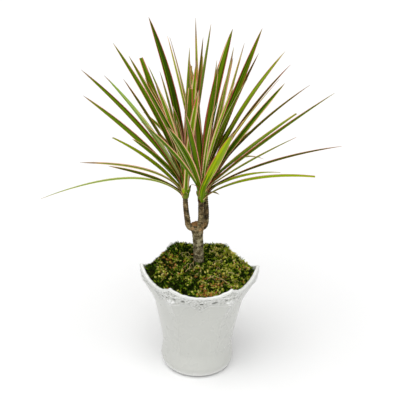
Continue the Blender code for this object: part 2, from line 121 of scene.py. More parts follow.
class Shader:
    """One material and the nodes that feed its Principled shader."""

    def __init__(self, name: str) -> None:
        """Makes an empty node material.

        Args:
            name: The material's name.
        """
        self.material = bpy.data.materials.new(name)
        self.material.use_nodes = True
        self.tree = self.material.node_tree
        self.surface = self.tree.nodes["Principled BSDF"]

    def node(
        self, kind: str, settings: dict[str, Any] | None = None, sockets: dict[Any, Any] | None = None
    ) -> bpy.types.Node:
        """Adds one node.

        Args:
            kind: The node's type.
            settings: Its own settings, set first. "stops" is a colour ramp's (place, colour) rows.
            sockets: Values or signals by the socket's name or number.

        Returns:
            The new node.
        """
        made = self.tree.nodes.new(kind)
        for key, value in (settings or {}).items():
            if key == "stops":
                self._set_stops(made.color_ramp, value)
            else:
                setattr(made, key, value)
        for key, value in (sockets or {}).items():
            self.feed(made.inputs[key], value)
        return made

    @staticmethod
    def _set_stops(ramp: bpy.types.ColorRamp, stops: Sequence[tuple[float, Colour]]) -> None:
        """Lays a colour ramp's stops.

        Args:
            ramp: The ramp to change.
            stops: Rows of (place, colour), in order.
        """
        while len(ramp.elements) < len(stops):
            ramp.elements.new(1.0)
        for element, (place, colour) in zip(ramp.elements, stops):
            element.position = place
            element.color = (*colour, 1.0)

    def feed(self, socket: bpy.types.NodeSocket, value: Any) -> None:
        """Links a signal to a socket, or sets the socket's own value.

        Args:
            socket: The socket to feed.
            value: A signal, a number, a vector or a colour.
        """
        if isinstance(value, Signal):
            self.tree.links.new(value.socket, socket)
        elif socket.type == "RGBA" and len(value) == 3:
            socket.default_value = (*value, 1.0)
        else:
            socket.default_value = value

    def out(self, node: bpy.types.Node, output: int | str = 0) -> Signal:
        """One of a node's outputs as a signal."""
        return Signal(self, node.outputs[output])

    def maths(self, operation: str, first: Signal | float, second: Signal | float) -> Signal:
        """A Math node on two values."""
        return self.out(self.node("ShaderNodeMath", {"operation": operation}, {0: first, 1: second}))

    def mix(self, share: Signal | float, first: Signal | Colour, second: Signal | Colour) -> Signal:
        """A mix of two colours.

        Args:
            share: 0 for the first colour, 1 for the second.
            first: The first colour.
            second: The second colour.

        Returns:
            The mixed colour.
        """
        made = self.node("ShaderNodeMix", {"data_type": "RGBA"}, {"Factor": share, 6: first, 7: second})
        return self.out(made, 2)

    def place(self, scale: Point = (1.0, 1.0, 1.0)) -> Signal:
        """The place on the object, stretched along its axes.

        Args:
            scale: What each of the three coordinates is multiplied by.

        Returns:
            The place as a vector.
        """
        spot = self.out(self.node("ShaderNodeTexCoord"), "Object")
        made = self.node("ShaderNodeVectorMath", {"operation": "MULTIPLY"}, {0: spot, 1: scale})
        return self.out(made)

    def noise(self, place: Signal, scale: float, detail: float = 4.0, rough: float = 0.55) -> Signal:
        """A noise value of about 0.3 to 0.7.

        Args:
            place: Where it is read.
            scale: Waves per metre.
            detail: How many finer waves are added.
            rough: How strong the finer waves are.

        Returns:
            The value.
        """
        sockets = {"Vector": place, "Scale": scale, "Detail": detail, "Roughness": rough}
        return self.out(self.node("ShaderNodeTexNoise", None, sockets))

    def upward(self, vector: Signal) -> Signal:
        """How far up a vector reaches."""
        return self.out(self.node("ShaderNodeSeparateXYZ", None, {0: vector}), 2)

    def ramp(self, value: Signal, stops: Sequence[tuple[float, Colour]]) -> Signal:
        """A colour read from a ramp."""
        return self.out(self.node("ShaderNodeValToRGB", {"stops": stops}, {0: value}))

    def bump(self, height: Signal, strength: float, distance: float) -> Signal:
        """A normal from a height.

        Args:
            height: The height, 0 to 1.
            strength: How much of it shows.
            distance: The height of 1, in metres.

        Returns:
            The normal.
        """
        sockets = {"Strength": strength, "Distance": distance, "Height": height}
        return self.out(self.node("ShaderNodeBump", None, sockets))

    def dress(self, **sockets: Any) -> bpy.types.Material:
        """Feeds the Principled shader.

        Args:
            sockets: Values or signals by the socket's name, with _ for a space.

        Returns:
            The finished material.
        """
        for key, value in sockets.items():
            self.feed(self.surface.inputs[key.replace("_", " ").title().replace("Ior", "IOR")], value)
        return self.material


# Finishes


@dataclass(frozen=True)
class PlainFinish:
    """One even colour, for the small pieces that get their pattern from many colours side by side."""

    name: str
    colour: Colour
    roughness: float = 0.42
    gloss: float = 0.04

    def make(self) -> bpy.types.Material:
        """The material."""
        shader = Shader(self.name)
        return shader.dress(
            base_color=self.colour, roughness=self.roughness, specular_ior_level=self.gloss
        )


@dataclass(frozen=True)
class GlazeFinish:
    """White glaze that pools a little grey in the hollows and thins to warm white on the ridges; the lip's
    warm white is partly painted highlight, and the glaze is painted lighter near the foot as painted
    reflection of the pale floor.

    The mesh's own relief value, 0.5 where it is flat, says where the glaze pools.
    """

    name: str = "white_glaze"
    body: Colour = (0.575, 0.582, 0.545)
    pooled: Colour = (0.36, 0.365, 0.34)
    thin: Colour = (0.90, 0.905, 0.89)
    floor_light_height: float = 0.016

    def make(self) -> bpy.types.Material:
        """Makes the material.

        Returns:
            The material.
        """
        shader = Shader(self.name)
        relief = shader.out(shader.node("ShaderNodeAttribute", {"attribute_name": RELIEF}), "Fac")
        cloud = shader.noise(shader.place(), 26.0, 3.0)
        speck = shader.noise(shader.place(), 420.0, 2.0)
        hollow = ((0.5 - relief) * 2.4 + (cloud - 0.5) * 0.25).clamped()
        # Painted reflection: the lowest part of the foot, which faces the pale floor, is painted lighter
        # towards the thin white.
        foot = shader.upward(shader.place()).below(self.floor_light_height, 70.0)
        ridge = ((relief - 0.5) * 2.6 + foot * 0.9).clamped()
        white = shader.mix(hollow, self.body, self.pooled)
        white = shader.mix(ridge * 0.8, white, self.thin)
        return shader.dress(
            base_color=white,
            roughness=0.2 + cloud * 0.16,
            normal=shader.bump(cloud * 0.5 + speck * 0.5, 0.04, 0.15 * MM),
            coat_weight=0.35,
            coat_roughness=0.08,
        )


@dataclass(frozen=True)
class BisqueFinish:
    """The bare fired clay of the foot's ring and the underside."""

    name: str = "bare_clay"

    def make(self) -> bpy.types.Material:
        """Makes the material.

        Returns:
            The material.
        """
        shader = Shader(self.name)
        grain = shader.noise(shader.place(), 900.0, 5.0)
        clay = shader.mix(grain, (0.58, 0.54, 0.47), (0.74, 0.71, 0.64))
        return shader.dress(base_color=clay, roughness=0.85, normal=shader.bump(grain, 0.4, 0.2 * MM))


@dataclass(frozen=True)
class SoilFinish:
    """Dark crumbly potting soil."""

    name: str = "dark_soil"

    def make(self) -> bpy.types.Material:
        """Makes the material.

        Returns:
            The material.
        """
        shader = Shader(self.name)
        crumbs = shader.noise(shader.place(), 380.0, 6.0, 0.7)
        earth = shader.ramp(crumbs, ((0.3, (0.012, 0.008, 0.005)), (0.7, (0.07, 0.045, 0.028))))
        return shader.dress(base_color=earth, roughness=0.95, normal=shader.bump(crumbs, 0.9, 2 * MM))


@dataclass(frozen=True)
class MossBedFinish:
    """The bed under the sprigs of moss, painted near-black with brown patches as the shade down among them.
    """

    name: str = "moss_bed"

    def make(self) -> bpy.types.Material:
        """Makes the material.

        Returns:
            The material.
        """
        shader = Shader(self.name)
        tufts = shader.noise(shader.place(), 650.0, 5.0, 0.7)
        patches = shader.noise(shader.place(), 60.0, 3.0)
        # Painted shade: the bed's greens and browns run down to near black.
        green = shader.ramp(tufts, ((0.32, (0.004, 0.006, 0.001)), (0.68, (0.035, 0.050, 0.004))))
        brown = shader.ramp(tufts, ((0.32, (0.007, 0.004, 0.001)), (0.68, (0.060, 0.032, 0.010))))
        return shader.dress(
            base_color=shader.mix(patches.above(0.52, 6.0), green, brown),
            roughness=0.95,
            specular_ior_level=0.05,
            normal=shader.bump(tufts, 1.0, 2.5 * MM),
        )


@dataclass(frozen=True)
class BarkFinish:
    """Grey-brown bark with dark ring scars, pale flakes and a torn, orange-brown cut at the knuckle.

    Heights on the object itself, in metres, say where the scars, the knuckle and the cut lie.
    """

    name: str = "dragon_tree_bark"
    moss_height: float = 0.170
    scars: tuple[float, ...] = (0.1655, 0.1765, 0.1915, 0.2075, 0.2240)
    stems_from: float = 0.236
    knuckle: float = 0.2565
    cut: Pair = (0.2605, 0.2665)
    stem_rings: float = 1848.0

    def make(self) -> bpy.types.Material:
        """Makes the material.

        Returns:
            The material.
        """
        shader = Shader(self.name)
        place = shader.place()
        height = shader.upward(place)
        level = shader.upward(shader.out(shader.node("ShaderNodeNewGeometry"), "Normal"))
        mottle = shader.noise(place, 150.0, 6.0, 0.66)
        flakes = shader.noise(shader.place((1.0, 1.0, 0.35)), 520.0, 5.0, 0.65)
        fine = shader.noise(place, 1500.0, 4.0, 0.6)
        stems = height.above(self.stems_from, 45.0)
        taupe = ((0.39, (0.022, 0.015, 0.005)), (0.505, (0.145, 0.118, 0.056)), (0.60, (0.40, 0.355, 0.215)))
        brown = ((0.41, (0.018, 0.010, 0.003)), (0.515, (0.105, 0.076, 0.027)), (0.60, (0.31, 0.24, 0.12)))
        bark = shader.mix(stems, shader.ramp(mottle, taupe), shader.ramp(mottle, brown))
        bark = shader.mix(flakes.above(0.555, 8.0) * 0.6, bark, (0.42, 0.375, 0.25))
        bark = shader.mix(flakes.below(0.445, 8.0) * 0.8, bark, (0.030, 0.019, 0.006))
        tan = shader.noise(place, 95.0, 4.0).above(0.50, 9.0)
        knuckle = (1.0 - abs(height - self.knuckle) * 110.0).clamped()
        bark = shader.mix(tan * (knuckle * 0.7 + stems * 0.22), bark, (0.50, 0.30, 0.13))
        rings = shader.maths("SINE", height * self.stem_rings + mottle * 9.0, 0.0)
        bark = shader.mix(rings.above(0.35, 2.2) * stems * 0.55, bark, (0.035, 0.024, 0.010))
        wander = (mottle - 0.5) * 0.012
        scars = sum((1.0 - abs(height - scar + wander) * 800.0).clamped() for scar in self.scars)
        bark = shader.mix(scars.clamped() * 0.8, bark, (0.035, 0.026, 0.014))
        mossy = ((self.moss_height - height) * 90.0 + (flakes - 0.5) * 3.0).clamped()
        bark = shader.mix(mossy * 0.5, bark, (0.075, 0.085, 0.022))
        torn = height.above(self.cut[0], 900.0) * level.above(0.55, 5.0)
        wood = shader.ramp(flakes, ((0.35, (0.13, 0.055, 0.018)), (0.62, (0.44, 0.235, 0.085))))
        bark = shader.mix(torn * height.below(self.cut[1], 900.0), bark, wood)
        relief = flakes * 0.55 + mottle * 0.25 + fine * 0.2
        return shader.dress(
            base_color=bark,
            roughness=0.72 + fine * 0.2,
            specular_ior_level=0.2,
            normal=shader.bump(relief, 0.75, 0.7 * MM),
        )


@dataclass(frozen=True)
class FloorFinish:
    """The pale studio floor."""

    name: str = "pale_floor"

    def make(self) -> bpy.types.Material:
        """The material."""
        shader = Shader(self.name)
        return shader.dress(base_color=(0.93, 0.93, 0.93), roughness=0.9, specular_ior_level=0.0)


class LeafTint(Enum):
    """The even colours that the leaves' strips are dealt."""

    DEEP = PlainFinish("leaf_deep_green", (0.033, 0.068, 0.001))
    MID = PlainFinish("leaf_mid_green", (0.108, 0.200, 0.001))
    OLIVE = PlainFinish("leaf_olive", (0.110, 0.150, 0.001))
    FRESH = PlainFinish("leaf_fresh_green", (0.240, 0.360, 0.004))
    LIME = PlainFinish("leaf_lime", (0.400, 0.500, 0.006))
    PALE = PlainFinish("leaf_pale_green", (0.380, 0.520, 0.140))
    CREAM = PlainFinish("leaf_cream", (0.800, 0.700, 0.300))
    RED = PlainFinish("leaf_red_margin", (0.620, 0.140, 0.080))
    PINK = PlainFinish("leaf_pink_margin", (0.930, 0.430, 0.260))
    MAROON = PlainFinish("leaf_maroon", (0.075, 0.028, 0.008))
    UNDER = PlainFinish("leaf_underside", (0.170, 0.250, 0.035), 0.5)
    UNDER_DARK = PlainFinish("leaf_underside_vein", (0.100, 0.150, 0.015), 0.5)
    DRY = PlainFinish("leaf_dry_tip", (0.300, 0.190, 0.095), 0.7, 0.1)
    STRAW = PlainFinish("leaf_straw", (0.480, 0.380, 0.190), 0.7, 0.1)
    SHEATH = PlainFinish("leaf_sheath", (0.160, 0.215, 0.026), 0.5)


class MossTint(Enum):
    """The even colours of the moss sprigs, each kind a piece of its own."""

    SHADE = PlainFinish("moss_shade", (0.007, 0.011, 0.001), 0.9, 0.05)
    DARK = PlainFinish("moss_dark", (0.026, 0.056, 0.002), 0.85, 0.05)
    GREEN = PlainFinish("moss_green", (0.092, 0.185, 0.005), 0.8, 0.08)
    YELLOW = PlainFinish("moss_yellow_green", (0.330, 0.400, 0.022), 0.8, 0.08)
    TIP = PlainFinish("moss_bright_tip", (0.760, 0.690, 0.170), 0.8, 0.08)
    RUST = PlainFinish("moss_rust", (0.480, 0.190, 0.048), 0.85, 0.05)
    UMBER = PlainFinish("moss_umber", (0.075, 0.032, 0.010), 0.9, 0.05)
    STRAW = PlainFinish("moss_straw", (0.720, 0.540, 0.260), 0.8, 0.08)


class MossKind(Enum):
    """How a sprig is coloured from its foot up: the choices for its lower and its upper halves, the lower
    ones darker as painted shade.
    """

    SHADED = ((MossTint.SHADE,), (MossTint.SHADE, MossTint.SHADE, MossTint.DARK))
    DEEP = ((MossTint.SHADE,), (MossTint.DARK, MossTint.DARK, MossTint.GREEN))
    GREEN = ((MossTint.SHADE, MossTint.DARK), (MossTint.GREEN,))
    BRIGHT = ((MossTint.GREEN, MossTint.YELLOW), (MossTint.YELLOW, MossTint.YELLOW, MossTint.TIP))
    RUSTY = ((MossTint.UMBER, MossTint.RUST), (MossTint.RUST,))
    GOLDEN = ((MossTint.RUST, MossTint.YELLOW), (MossTint.TIP, MossTint.YELLOW, MossTint.STRAW))


# Meshes


class Sheaf:
    """Gathers many small faces, each with its finish's number, and joins them into one mesh."""

    def __init__(self) -> None:
        """Starts empty."""
        self.points: list[np.ndarray] = []
        self.faces: list[list[int]] = []
        self.slots: list[int] = []
        self.count = 0

    def add(self, points: np.ndarray, faces: Sequence[Sequence[int]], slots: Sequence[int]) -> None:
        """Adds faces on points of their own.

        Args:
            points: Rows of x, y, z.
            faces: Rows of point numbers, counted from 0 in these points.
            slots: Each face's finish number.
        """
        start = self.count
        self.points.append(np.asarray(points, float).reshape(-1, 3))
        self.faces.extend([[start + i for i in face] for face in faces])
        self.slots.extend(slots)
        self.count += len(self.points[-1])

    def join(
        self, name: str, finishes: Sequence[bpy.types.Material], smooth: bool = True
    ) -> bpy.types.Object:
        """Makes the object.

        Args:
            name: Its name.
            finishes: Its materials, in the order of their numbers.
            smooth: Whether it is shaded smooth.

        Returns:
            The object, linked to the scene.
        """
        mesh = bpy.data.meshes.new(name)
        mesh.from_pydata(np.concatenate(self.points), [], self.faces)
        mesh.polygons.foreach_set("material_index", self.slots)
        for finish in finishes:
            mesh.materials.append(finish)
        if smooth:
            mesh.shade_smooth()
        piece = bpy.data.objects.new(name, mesh)
        bpy.context.scene.collection.objects.link(piece)
        return piece


def ring_faces(rings: int, size: int, capped: bool = False) -> list[list[int]]:
    """The faces between closed rings of points.

    Args:
        rings: How many rings there are, counted one after the other.
        size: How many points a ring has.
        capped: Whether the first and the last ring are filled.

    Returns:
        Rows of point numbers.
    """
    turns = [(i, (i + 1) % size) for i in range(size)]
    low = range(0, (rings - 1) * size, size)
    faces = [[k + i, k + j, k + size + j, k + size + i] for k in low for i, j in turns]
    if capped:
        faces += [list(range(size))[::-1], list(range((rings - 1) * size, rings * size))]
    return faces


def settle(piece: bpy.types.Object, slot: str, *nodes: str) -> None:
    """Puts a finished piece on the plant's body in place of frame nodes, and reports it.

    Args:
        piece: The piece.
        slot: The record's material slot; not used.
        nodes: The frame nodes it stands for.
    """
    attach(piece, "root")
    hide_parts(*nodes)
    triangles = sum(len(face.vertices) - 2 for face in piece.data.polygons)
    LOG.info("%s: %d triangles, for %s", piece.name, triangles, ", ".join(nodes))


def smoothstep(value: np.ndarray | float) -> np.ndarray | float:
    """A soft step from 0 to 1."""
    kept = np.clip(value, 0.0, 1.0)
    return kept * kept * (3.0 - 2.0 * kept)


def at_angle(angle: float, radius: float, height: float) -> Vector:
    """A point by its angle round the pot's axis, counted from the front."""
    return Vector((radius * math.sin(angle), -radius * math.cos(angle), height))


def ring_at(angle: np.ndarray, radius: np.ndarray, height: np.ndarray) -> np.ndarray:
    """Rows of points by their angles round the pot's axis, counted from the front."""
    return np.stack((radius * np.sin(angle), -radius * np.cos(angle), height), axis=1)


def heading(path: Sequence[Vector], number: int) -> Vector:
    """The way a path runs at one of its points."""
    return (path[min(number + 1, len(path) - 1)] - path[max(number - 1, 0)]).normalized()


def bezier(guides: Sequence[Vector], share: float) -> Vector:
    """A point on the curve that a row of guide points shapes.

    Args:
        guides: The guide points.
        share: How far along, 0 to 1.

    Returns:
        The point.
    """
    points = list(guides)
    while len(points) > 1:
        points = [first.lerp(second, share) for first, second in zip(points, points[1:])]
    return points[0]


# The pot


@dataclass(frozen=True)
class Opening:
    """An almond-shaped opening, millimetres from the side's middle and below the lip, and radians."""

    x: float
    y: float
    tilt: float
    long: float
    high: float


@dataclass(frozen=True)
class Curl:
    """A scroll, millimetres from the side's middle and below the lip, and radians."""

    x: float
    y: float
    size: float
    start: float
    hand: int


OPENINGS = (
    Opening(2.0, 15.5, 0.12, 4.2, 1.9),
    Opening(-28.0, 13.2, 0.35, 4.2, 2.2),
    Opening(23.0, 13.6, 0.12, 5.6, 2.3),
    Opening(40.0, 15.0, 0.5, 2.8, 1.6),
    Opening(-41.0, 14.6, -0.4, 3.0, 1.7),
)
CURLS = (
    Curl(10.5, 8.2, 4.2, 0.4, 1),
    Curl(20.0, 5.6, 3.0, 2.4, -1),
    Curl(30.0, 6.2, 3.6, 1.2, 1),
    Curl(34.0, 13.5, 3.0, 3.0, -1),
    Curl(13.5, 16.5, 2.8, 4.0, 1),
)
FOOT_PROFILE = ((0.000, 0.0500), (0.003, 0.0565), (0.009, 0.0612), (0.018, 0.0632), (0.029, 0.0614))


@dataclass
class Pot:
    """The glazed pot: round foot and waist, six flared sides, an embossed band and a rolled lip.

    The profiles are rows of (height, radius), at the six corners and at the middle of the sides.
    """

    corner_profile: tuple[Pair, ...] = (
        *FOOT_PROFILE,
        (0.042, 0.0594),
        (0.067, 0.0633),
        (0.102, 0.0707),
        (0.120, 0.0745),
        (0.131, 0.0803),
        (0.144, 0.0888),
        (0.158, 0.0964),
        (0.175, 0.0994),
        (0.190, 0.1004),
    )
    side_profile: tuple[Pair, ...] = (
        *FOOT_PROFILE,
        (0.042, 0.0592),
        (0.067, 0.0622),
        (0.102, 0.0675),
        (0.120, 0.0700),
        (0.140, 0.0728),
        (0.152, 0.0760),
        (0.164, 0.0830),
        (0.174, 0.0886),
        (0.190, 0.0900),
    )
    sides: int = 6
    first_corner: float = math.radians(32)
    lip_at_side: float = 0.171
    lip_at_corner: float = 0.187
    edge_at_side: float = 0.152
    edge_at_corner: float = 0.157
    pendant_drop: float = 0.013
    pendant_half_span: float = 0.32
    band_raise: float = 1.0 * MM
    wall: float = 4.0 * MM
    steps: int = 720
    body_rows: int = 44
    band_rows: int = 72
    lip_rows: int = 7
    inner_rows: int = 10
    inner_floor: float = 0.120
    side_half_mm: float = 48.0
    slant: float = 1.12
    lip_waves: tuple[tuple[float, int, int], ...] = ((0.35 * MM, 47, 0), (0.25 * MM, 29, 1))
    lip_roll: float = 0.42
    recess_radius: float = 0.044
    recess_slope: float = 0.97
    recess: float = 1.2 * MM

    def along_side(self, angle: np.ndarray) -> np.ndarray:
        """Where angles fall on their side of the pot.

        Args:
            angle: Angles round the axis.

        Returns:
            -1 and 1 at the side's corners, 0 at its middle.
        """
        span = 2 * math.pi / self.sides
        offset = (angle - self.first_corner) % span - span / 2
        return np.tan(offset) / math.tan(span / 2)

    @staticmethod
    def _eased(profile: Sequence[Pair], height: np.ndarray) -> np.ndarray:
        """Reads a profile with its corners eased over a few millimetres.

        Args:
            profile: Rows of (height, radius).
            height: Where to read it.

        Returns:
            The radii.
        """
        table = np.array(profile)
        spread = (-2.4 * MM, -1.2 * MM, 0.0, 1.2 * MM, 2.4 * MM)
        room = np.clip(height, 0.0, 0.003) / 0.003
        reads = [np.interp(height + step * room, table[:, 0], table[:, 1]) for step in spread]
        return np.average(reads, axis=0, weights=(1, 2, 3, 2, 1))

    def radius(self, angle: np.ndarray, height: np.ndarray) -> np.ndarray:
        """The outer radius, with the six edges slightly rounded.

        Args:
            angle: Angles round the axis.
            height: Heights, of a shape that goes with the angles.

        Returns:
            The radii.
        """
        half = math.pi / self.sides
        along = np.abs(self.along_side(angle))
        cornering = (np.hypot(1, along * math.tan(half)) - 1) / (1 / math.cos(half) - 1)
        cornering = cornering - 0.10 * np.exp(-(((1 - along) / 0.07) ** 2))
        side = self._eased(self.side_profile, height)
        return side + (self._eased(self.corner_profile, height) - side) * cornering

    def lip_height(self, angle: np.ndarray) -> np.ndarray:
        """The lip's top, which rises to a point at each corner."""
        return self.lip_at_side + (self.lip_at_corner - self.lip_at_side) * self.along_side(angle) ** 2

    def under_lip(self, angle: np.ndarray, share: float) -> np.ndarray:
        """A height inside the flared part, from 0 at its foot to 1 at the lip."""
        return self.edge_at_side + share * (self.lip_height(angle) - self.edge_at_side)

    def band_edge(self, angle: np.ndarray) -> np.ndarray:
        """The lower edge of the embossed band, with a pendant at the middle of each side.

        Args:
            angle: Angles round the axis.

        Returns:
            Its heights.
        """
        place = np.abs(self.along_side(angle))
        edge = self.edge_at_side + (self.edge_at_corner - self.edge_at_side) * place**2
        return edge - self.pendant_drop * np.maximum(0.0, 1 - place / self.pendant_half_span)

    @staticmethod
    def ridge(distance: np.ndarray, width: float, height: float) -> np.ndarray:
        """A rounded ridge's height at a distance from its middle line."""
        return height * np.exp(-((distance / width) ** 2))

    def slot(self, x: np.ndarray, y: np.ndarray, opening: Opening) -> np.ndarray:
        """An almond-shaped opening sunk in the band, with its raised rim.

        Args:
            x: Millimetres from the side's middle.
            y: Millimetres above the opening's middle.
            opening: Where it is, how it tilts and its half sizes.

        Returns:
            The height it adds, in millimetres.
        """
        dx, cos, sin = x - opening.x, math.cos(opening.tilt), math.sin(opening.tilt)
        on = (dx * cos + y * sin) / opening.long
        off = (-dx * sin + y * cos) / opening.high
        rim = np.hypot(on, off) + 0.35 * np.abs(on) ** 2
        sunk = -2.6 * np.exp(-((rim / 0.95) ** 4))
        return sunk + self.ridge(rim - 1.45, 0.28, 1.0)

    def scroll(self, x: np.ndarray, y: np.ndarray, curl: Curl) -> np.ndarray:
        """A C-shaped scroll: a raised line that rolls up into a bead.

        Args:
            x: Millimetres from the side's middle.
            y: Millimetres below the lip.
            curl: Where its bead is, its size, its start and its hand.

        Returns:
            The height it adds, in millimetres.
        """
        dx, dy = x - curl.x, y - curl.y
        far = np.hypot(dx, dy)
        turn = (np.arctan2(dy, dx) * curl.hand - curl.start) % (2 * math.pi)
        line = curl.size * (1.15 - 0.11 * turn)
        shown = smoothstep(turn / 0.5) * smoothstep((2 * math.pi - turn) / 0.5)
        return self.ridge(far - line, 0.75, 1.25) * shown + self.ridge(far, curl.size * 0.32, 1.1)

    def relief(self, along: np.ndarray, rise: float, band: np.ndarray) -> np.ndarray:
        """The band's embossing: edge lines, a garland of scrolls and openings, and corner shells.

        Args:
            along: The place along the side, -1 to 1.
            rise: The place across the band, 0 at its lower edge and 1 at the lip.
            band: How wide the band is there, in millimetres.

        Returns:
            The height of the relief over the plain band, in millimetres.
        """
        x = along * self.side_half_mm
        aside = np.abs(x)
        edge, below = rise * band, (1 - rise) * band
        bumps = self.ridge(edge - 1.0, 0.9, 1.5)
        bumps += self.ridge(edge - 4.2, 0.7, 1.0) * smoothstep((0.80 - np.abs(along)) / 0.1)
        bumps += self.ridge(below - 1.6, 1.1, 1.3)
        garland = 9.6 + 2.6 * np.cos(2 * math.pi * (aside - 2.0) / 21.0)
        bumps += self.ridge(below - garland, 1.1, 1.5)
        leafy = np.sin(x * 0.95 + 1.3 * np.sin(below * 0.6)) * np.cos(below * 0.62 + 0.9 * np.sin(x * 0.45))
        inside = smoothstep((edge - 5.0) / 1.2) * smoothstep((below - 3.2) / 1.2)
        bumps += inside * leafy * np.abs(leafy) ** 0.4
        for curl in CURLS:
            near = np.exp(-((np.hypot(aside - curl.x, below - curl.y) / (curl.size * 1.25)) ** 6))
            bumps = bumps * (1 - near * 0.8) + self.scroll(aside, below, curl) * near
        for opening in OPENINGS:
            wide, high = (x - opening.x) / (opening.long * 1.7), (below - opening.y) / (opening.high * 2)
            near = np.exp(-(wide**4 + high**4))
            bumps = bumps * (1 - 0.9 * near) + self.slot(x, -(below - opening.y), opening) * near
        return self._with_shell(bumps, self.side_half_mm - aside, edge - 2.5) * smoothstep(edge / 0.9)

    def _with_shell(self, bumps: np.ndarray, dx: np.ndarray, dy: np.ndarray) -> np.ndarray:
        """Lays the fluted corner shell and its bead over the embossing.

        Args:
            bumps: The embossing so far.
            dx: Millimetres from the corner.
            dy: Millimetres above the shell's bead.

        Returns:
            The embossing with the shell.
        """
        far, fan = np.hypot(dx, dy), np.arctan2(dx, dy)
        flutes = np.abs(np.cos(fan * 4.2)) ** 0.8
        shell = smoothstep((far - 1.5) / 2.0) * smoothstep((10.5 - far + 1.2 * flutes) / 1.2)
        shell = shell * smoothstep((1.25 - fan) / 0.2)
        dome = 0.9 * np.sin(np.clip(far / 11.5, 0, 1) * math.pi)
        return bumps * (1 - shell) + shell * (dome + 1.7 * flutes - 0.8) + self.ridge(far, 1.8, 1.4)

    def facet_edge(self, along: np.ndarray, height: np.ndarray) -> np.ndarray:
        """The faint upright edge that runs down the body from each corner.

        Args:
            along: The place along the side, -1 to 1.
            height: The height.

        Returns:
            How far it stands out, in metres.
        """
        off = (1 - np.abs(along)) * self.side_half_mm * 0.7
        fade = smoothstep((height - 0.030) / 0.015)
        return (self.ridge(off, 1.3, 0.55) - self.ridge(off - 3.2, 1.6, 0.18)) * fade * MM

    def build(self) -> None:
        """Builds and dresses the pot."""
        angle = np.arange(self.steps) * 2 * math.pi / self.steps
        rows, reliefs = [], []
        for height, out, bumps in self._rings(angle):
            rows.append(ring_at(angle, self.radius(angle, height) + out, height))
            reliefs.append(bumps)
        self._skin(np.array(rows), np.array(reliefs))

    def _rings(self, angle: np.ndarray) -> Iterator[tuple[np.ndarray, np.ndarray, np.ndarray]]:
        """Works out the shell's rings, from the foot over the lip and down the inside.

        Args:
            angle: Angles round the axis.

        Yields:
            A ring's heights, how far it stands out, and its embossing in millimetres.
        """
        along = self.along_side(angle)
        plain = np.zeros(self.steps)
        lip, edge = self.lip_height(angle), self.band_edge(angle)
        band = (lip - edge) / MM * self.slant
        for k in range(self.body_rows):
            share = (k / self.body_rows) ** 1.25
            yield edge * share, self.facet_edge(along, edge * share), plain
        for k in range(self.band_rows + 1):
            rise = k / self.band_rows
            bumps = self.relief(along, rise, band)
            yield edge + (lip - edge) * rise, self.band_raise * smoothstep(rise / 0.05) + bumps * MM, bumps
        wave = sum(size * np.sin(angle * count + start) for size, count, start in self.lip_waves)
        raised = self.band_raise + bumps * MM
        for k in range(1, self.lip_rows + 1):
            turn = math.pi * k / self.lip_rows
            height = lip + wave + self.wall * self.lip_roll * math.sin(turn)
            # The lip rows get a relief value of 2, so the glaze paints them the thin warm white: partly glaze
            # thinning over the rolled lip, partly painted highlight on its top.
            yield height, raised - (self.wall + raised) / 2 * (1 - math.cos(turn)), plain + 2.0
        for k in range(1, self.inner_rows + 1):
            yield lip + (self.inner_floor - lip) * k / self.inner_rows, plain - self.wall, plain

    def _skin(self, rows: np.ndarray, reliefs: np.ndarray) -> None:
        """Joins the rows of points into the glazed shell and adds the recessed foot.

        Args:
            rows: Points by row and step.
            reliefs: The embossing at each point, in millimetres.
        """
        count, steps = rows.shape[:2]
        shell = ring_faces(count, steps)
        shell.append(list(range((count - 1) * steps, count * steps))[::-1])
        sheaf = Sheaf()
        sheaf.add(rows.reshape(-1, 3), shell, [0] * len(shell))
        inward = self.recess_radius / self.corner_profile[0][1]
        inner = rows[0] * np.array((inward, inward, 1.0))
        deep = inner * np.array((self.recess_slope, self.recess_slope, 1.0))
        deep[:, 2] += self.recess
        under = [face[::-1] for face in ring_faces(3, steps)]
        under.append(list(range(2 * steps, 3 * steps))[::-1])
        sheaf.add(np.concatenate((rows[0], inner, deep)), under, [1] * len(under))
        piece = sheaf.join("pot_glazed", (GlazeFinish().make(), BisqueFinish().make()))
        flat = reliefs.reshape(-1)
        values = np.full(len(piece.data.vertices), 0.5, np.float32)
        values[: count * steps] = np.clip(0.5 + (flat - 0.05) * 0.3 * (flat != 0), 0, 1)
        attribute = piece.data.attributes.new(RELIEF, "FLOAT", "POINT")
        attribute.data.foreach_set("value", values)
        settle(piece, "white_glaze", "pot")


# Moss


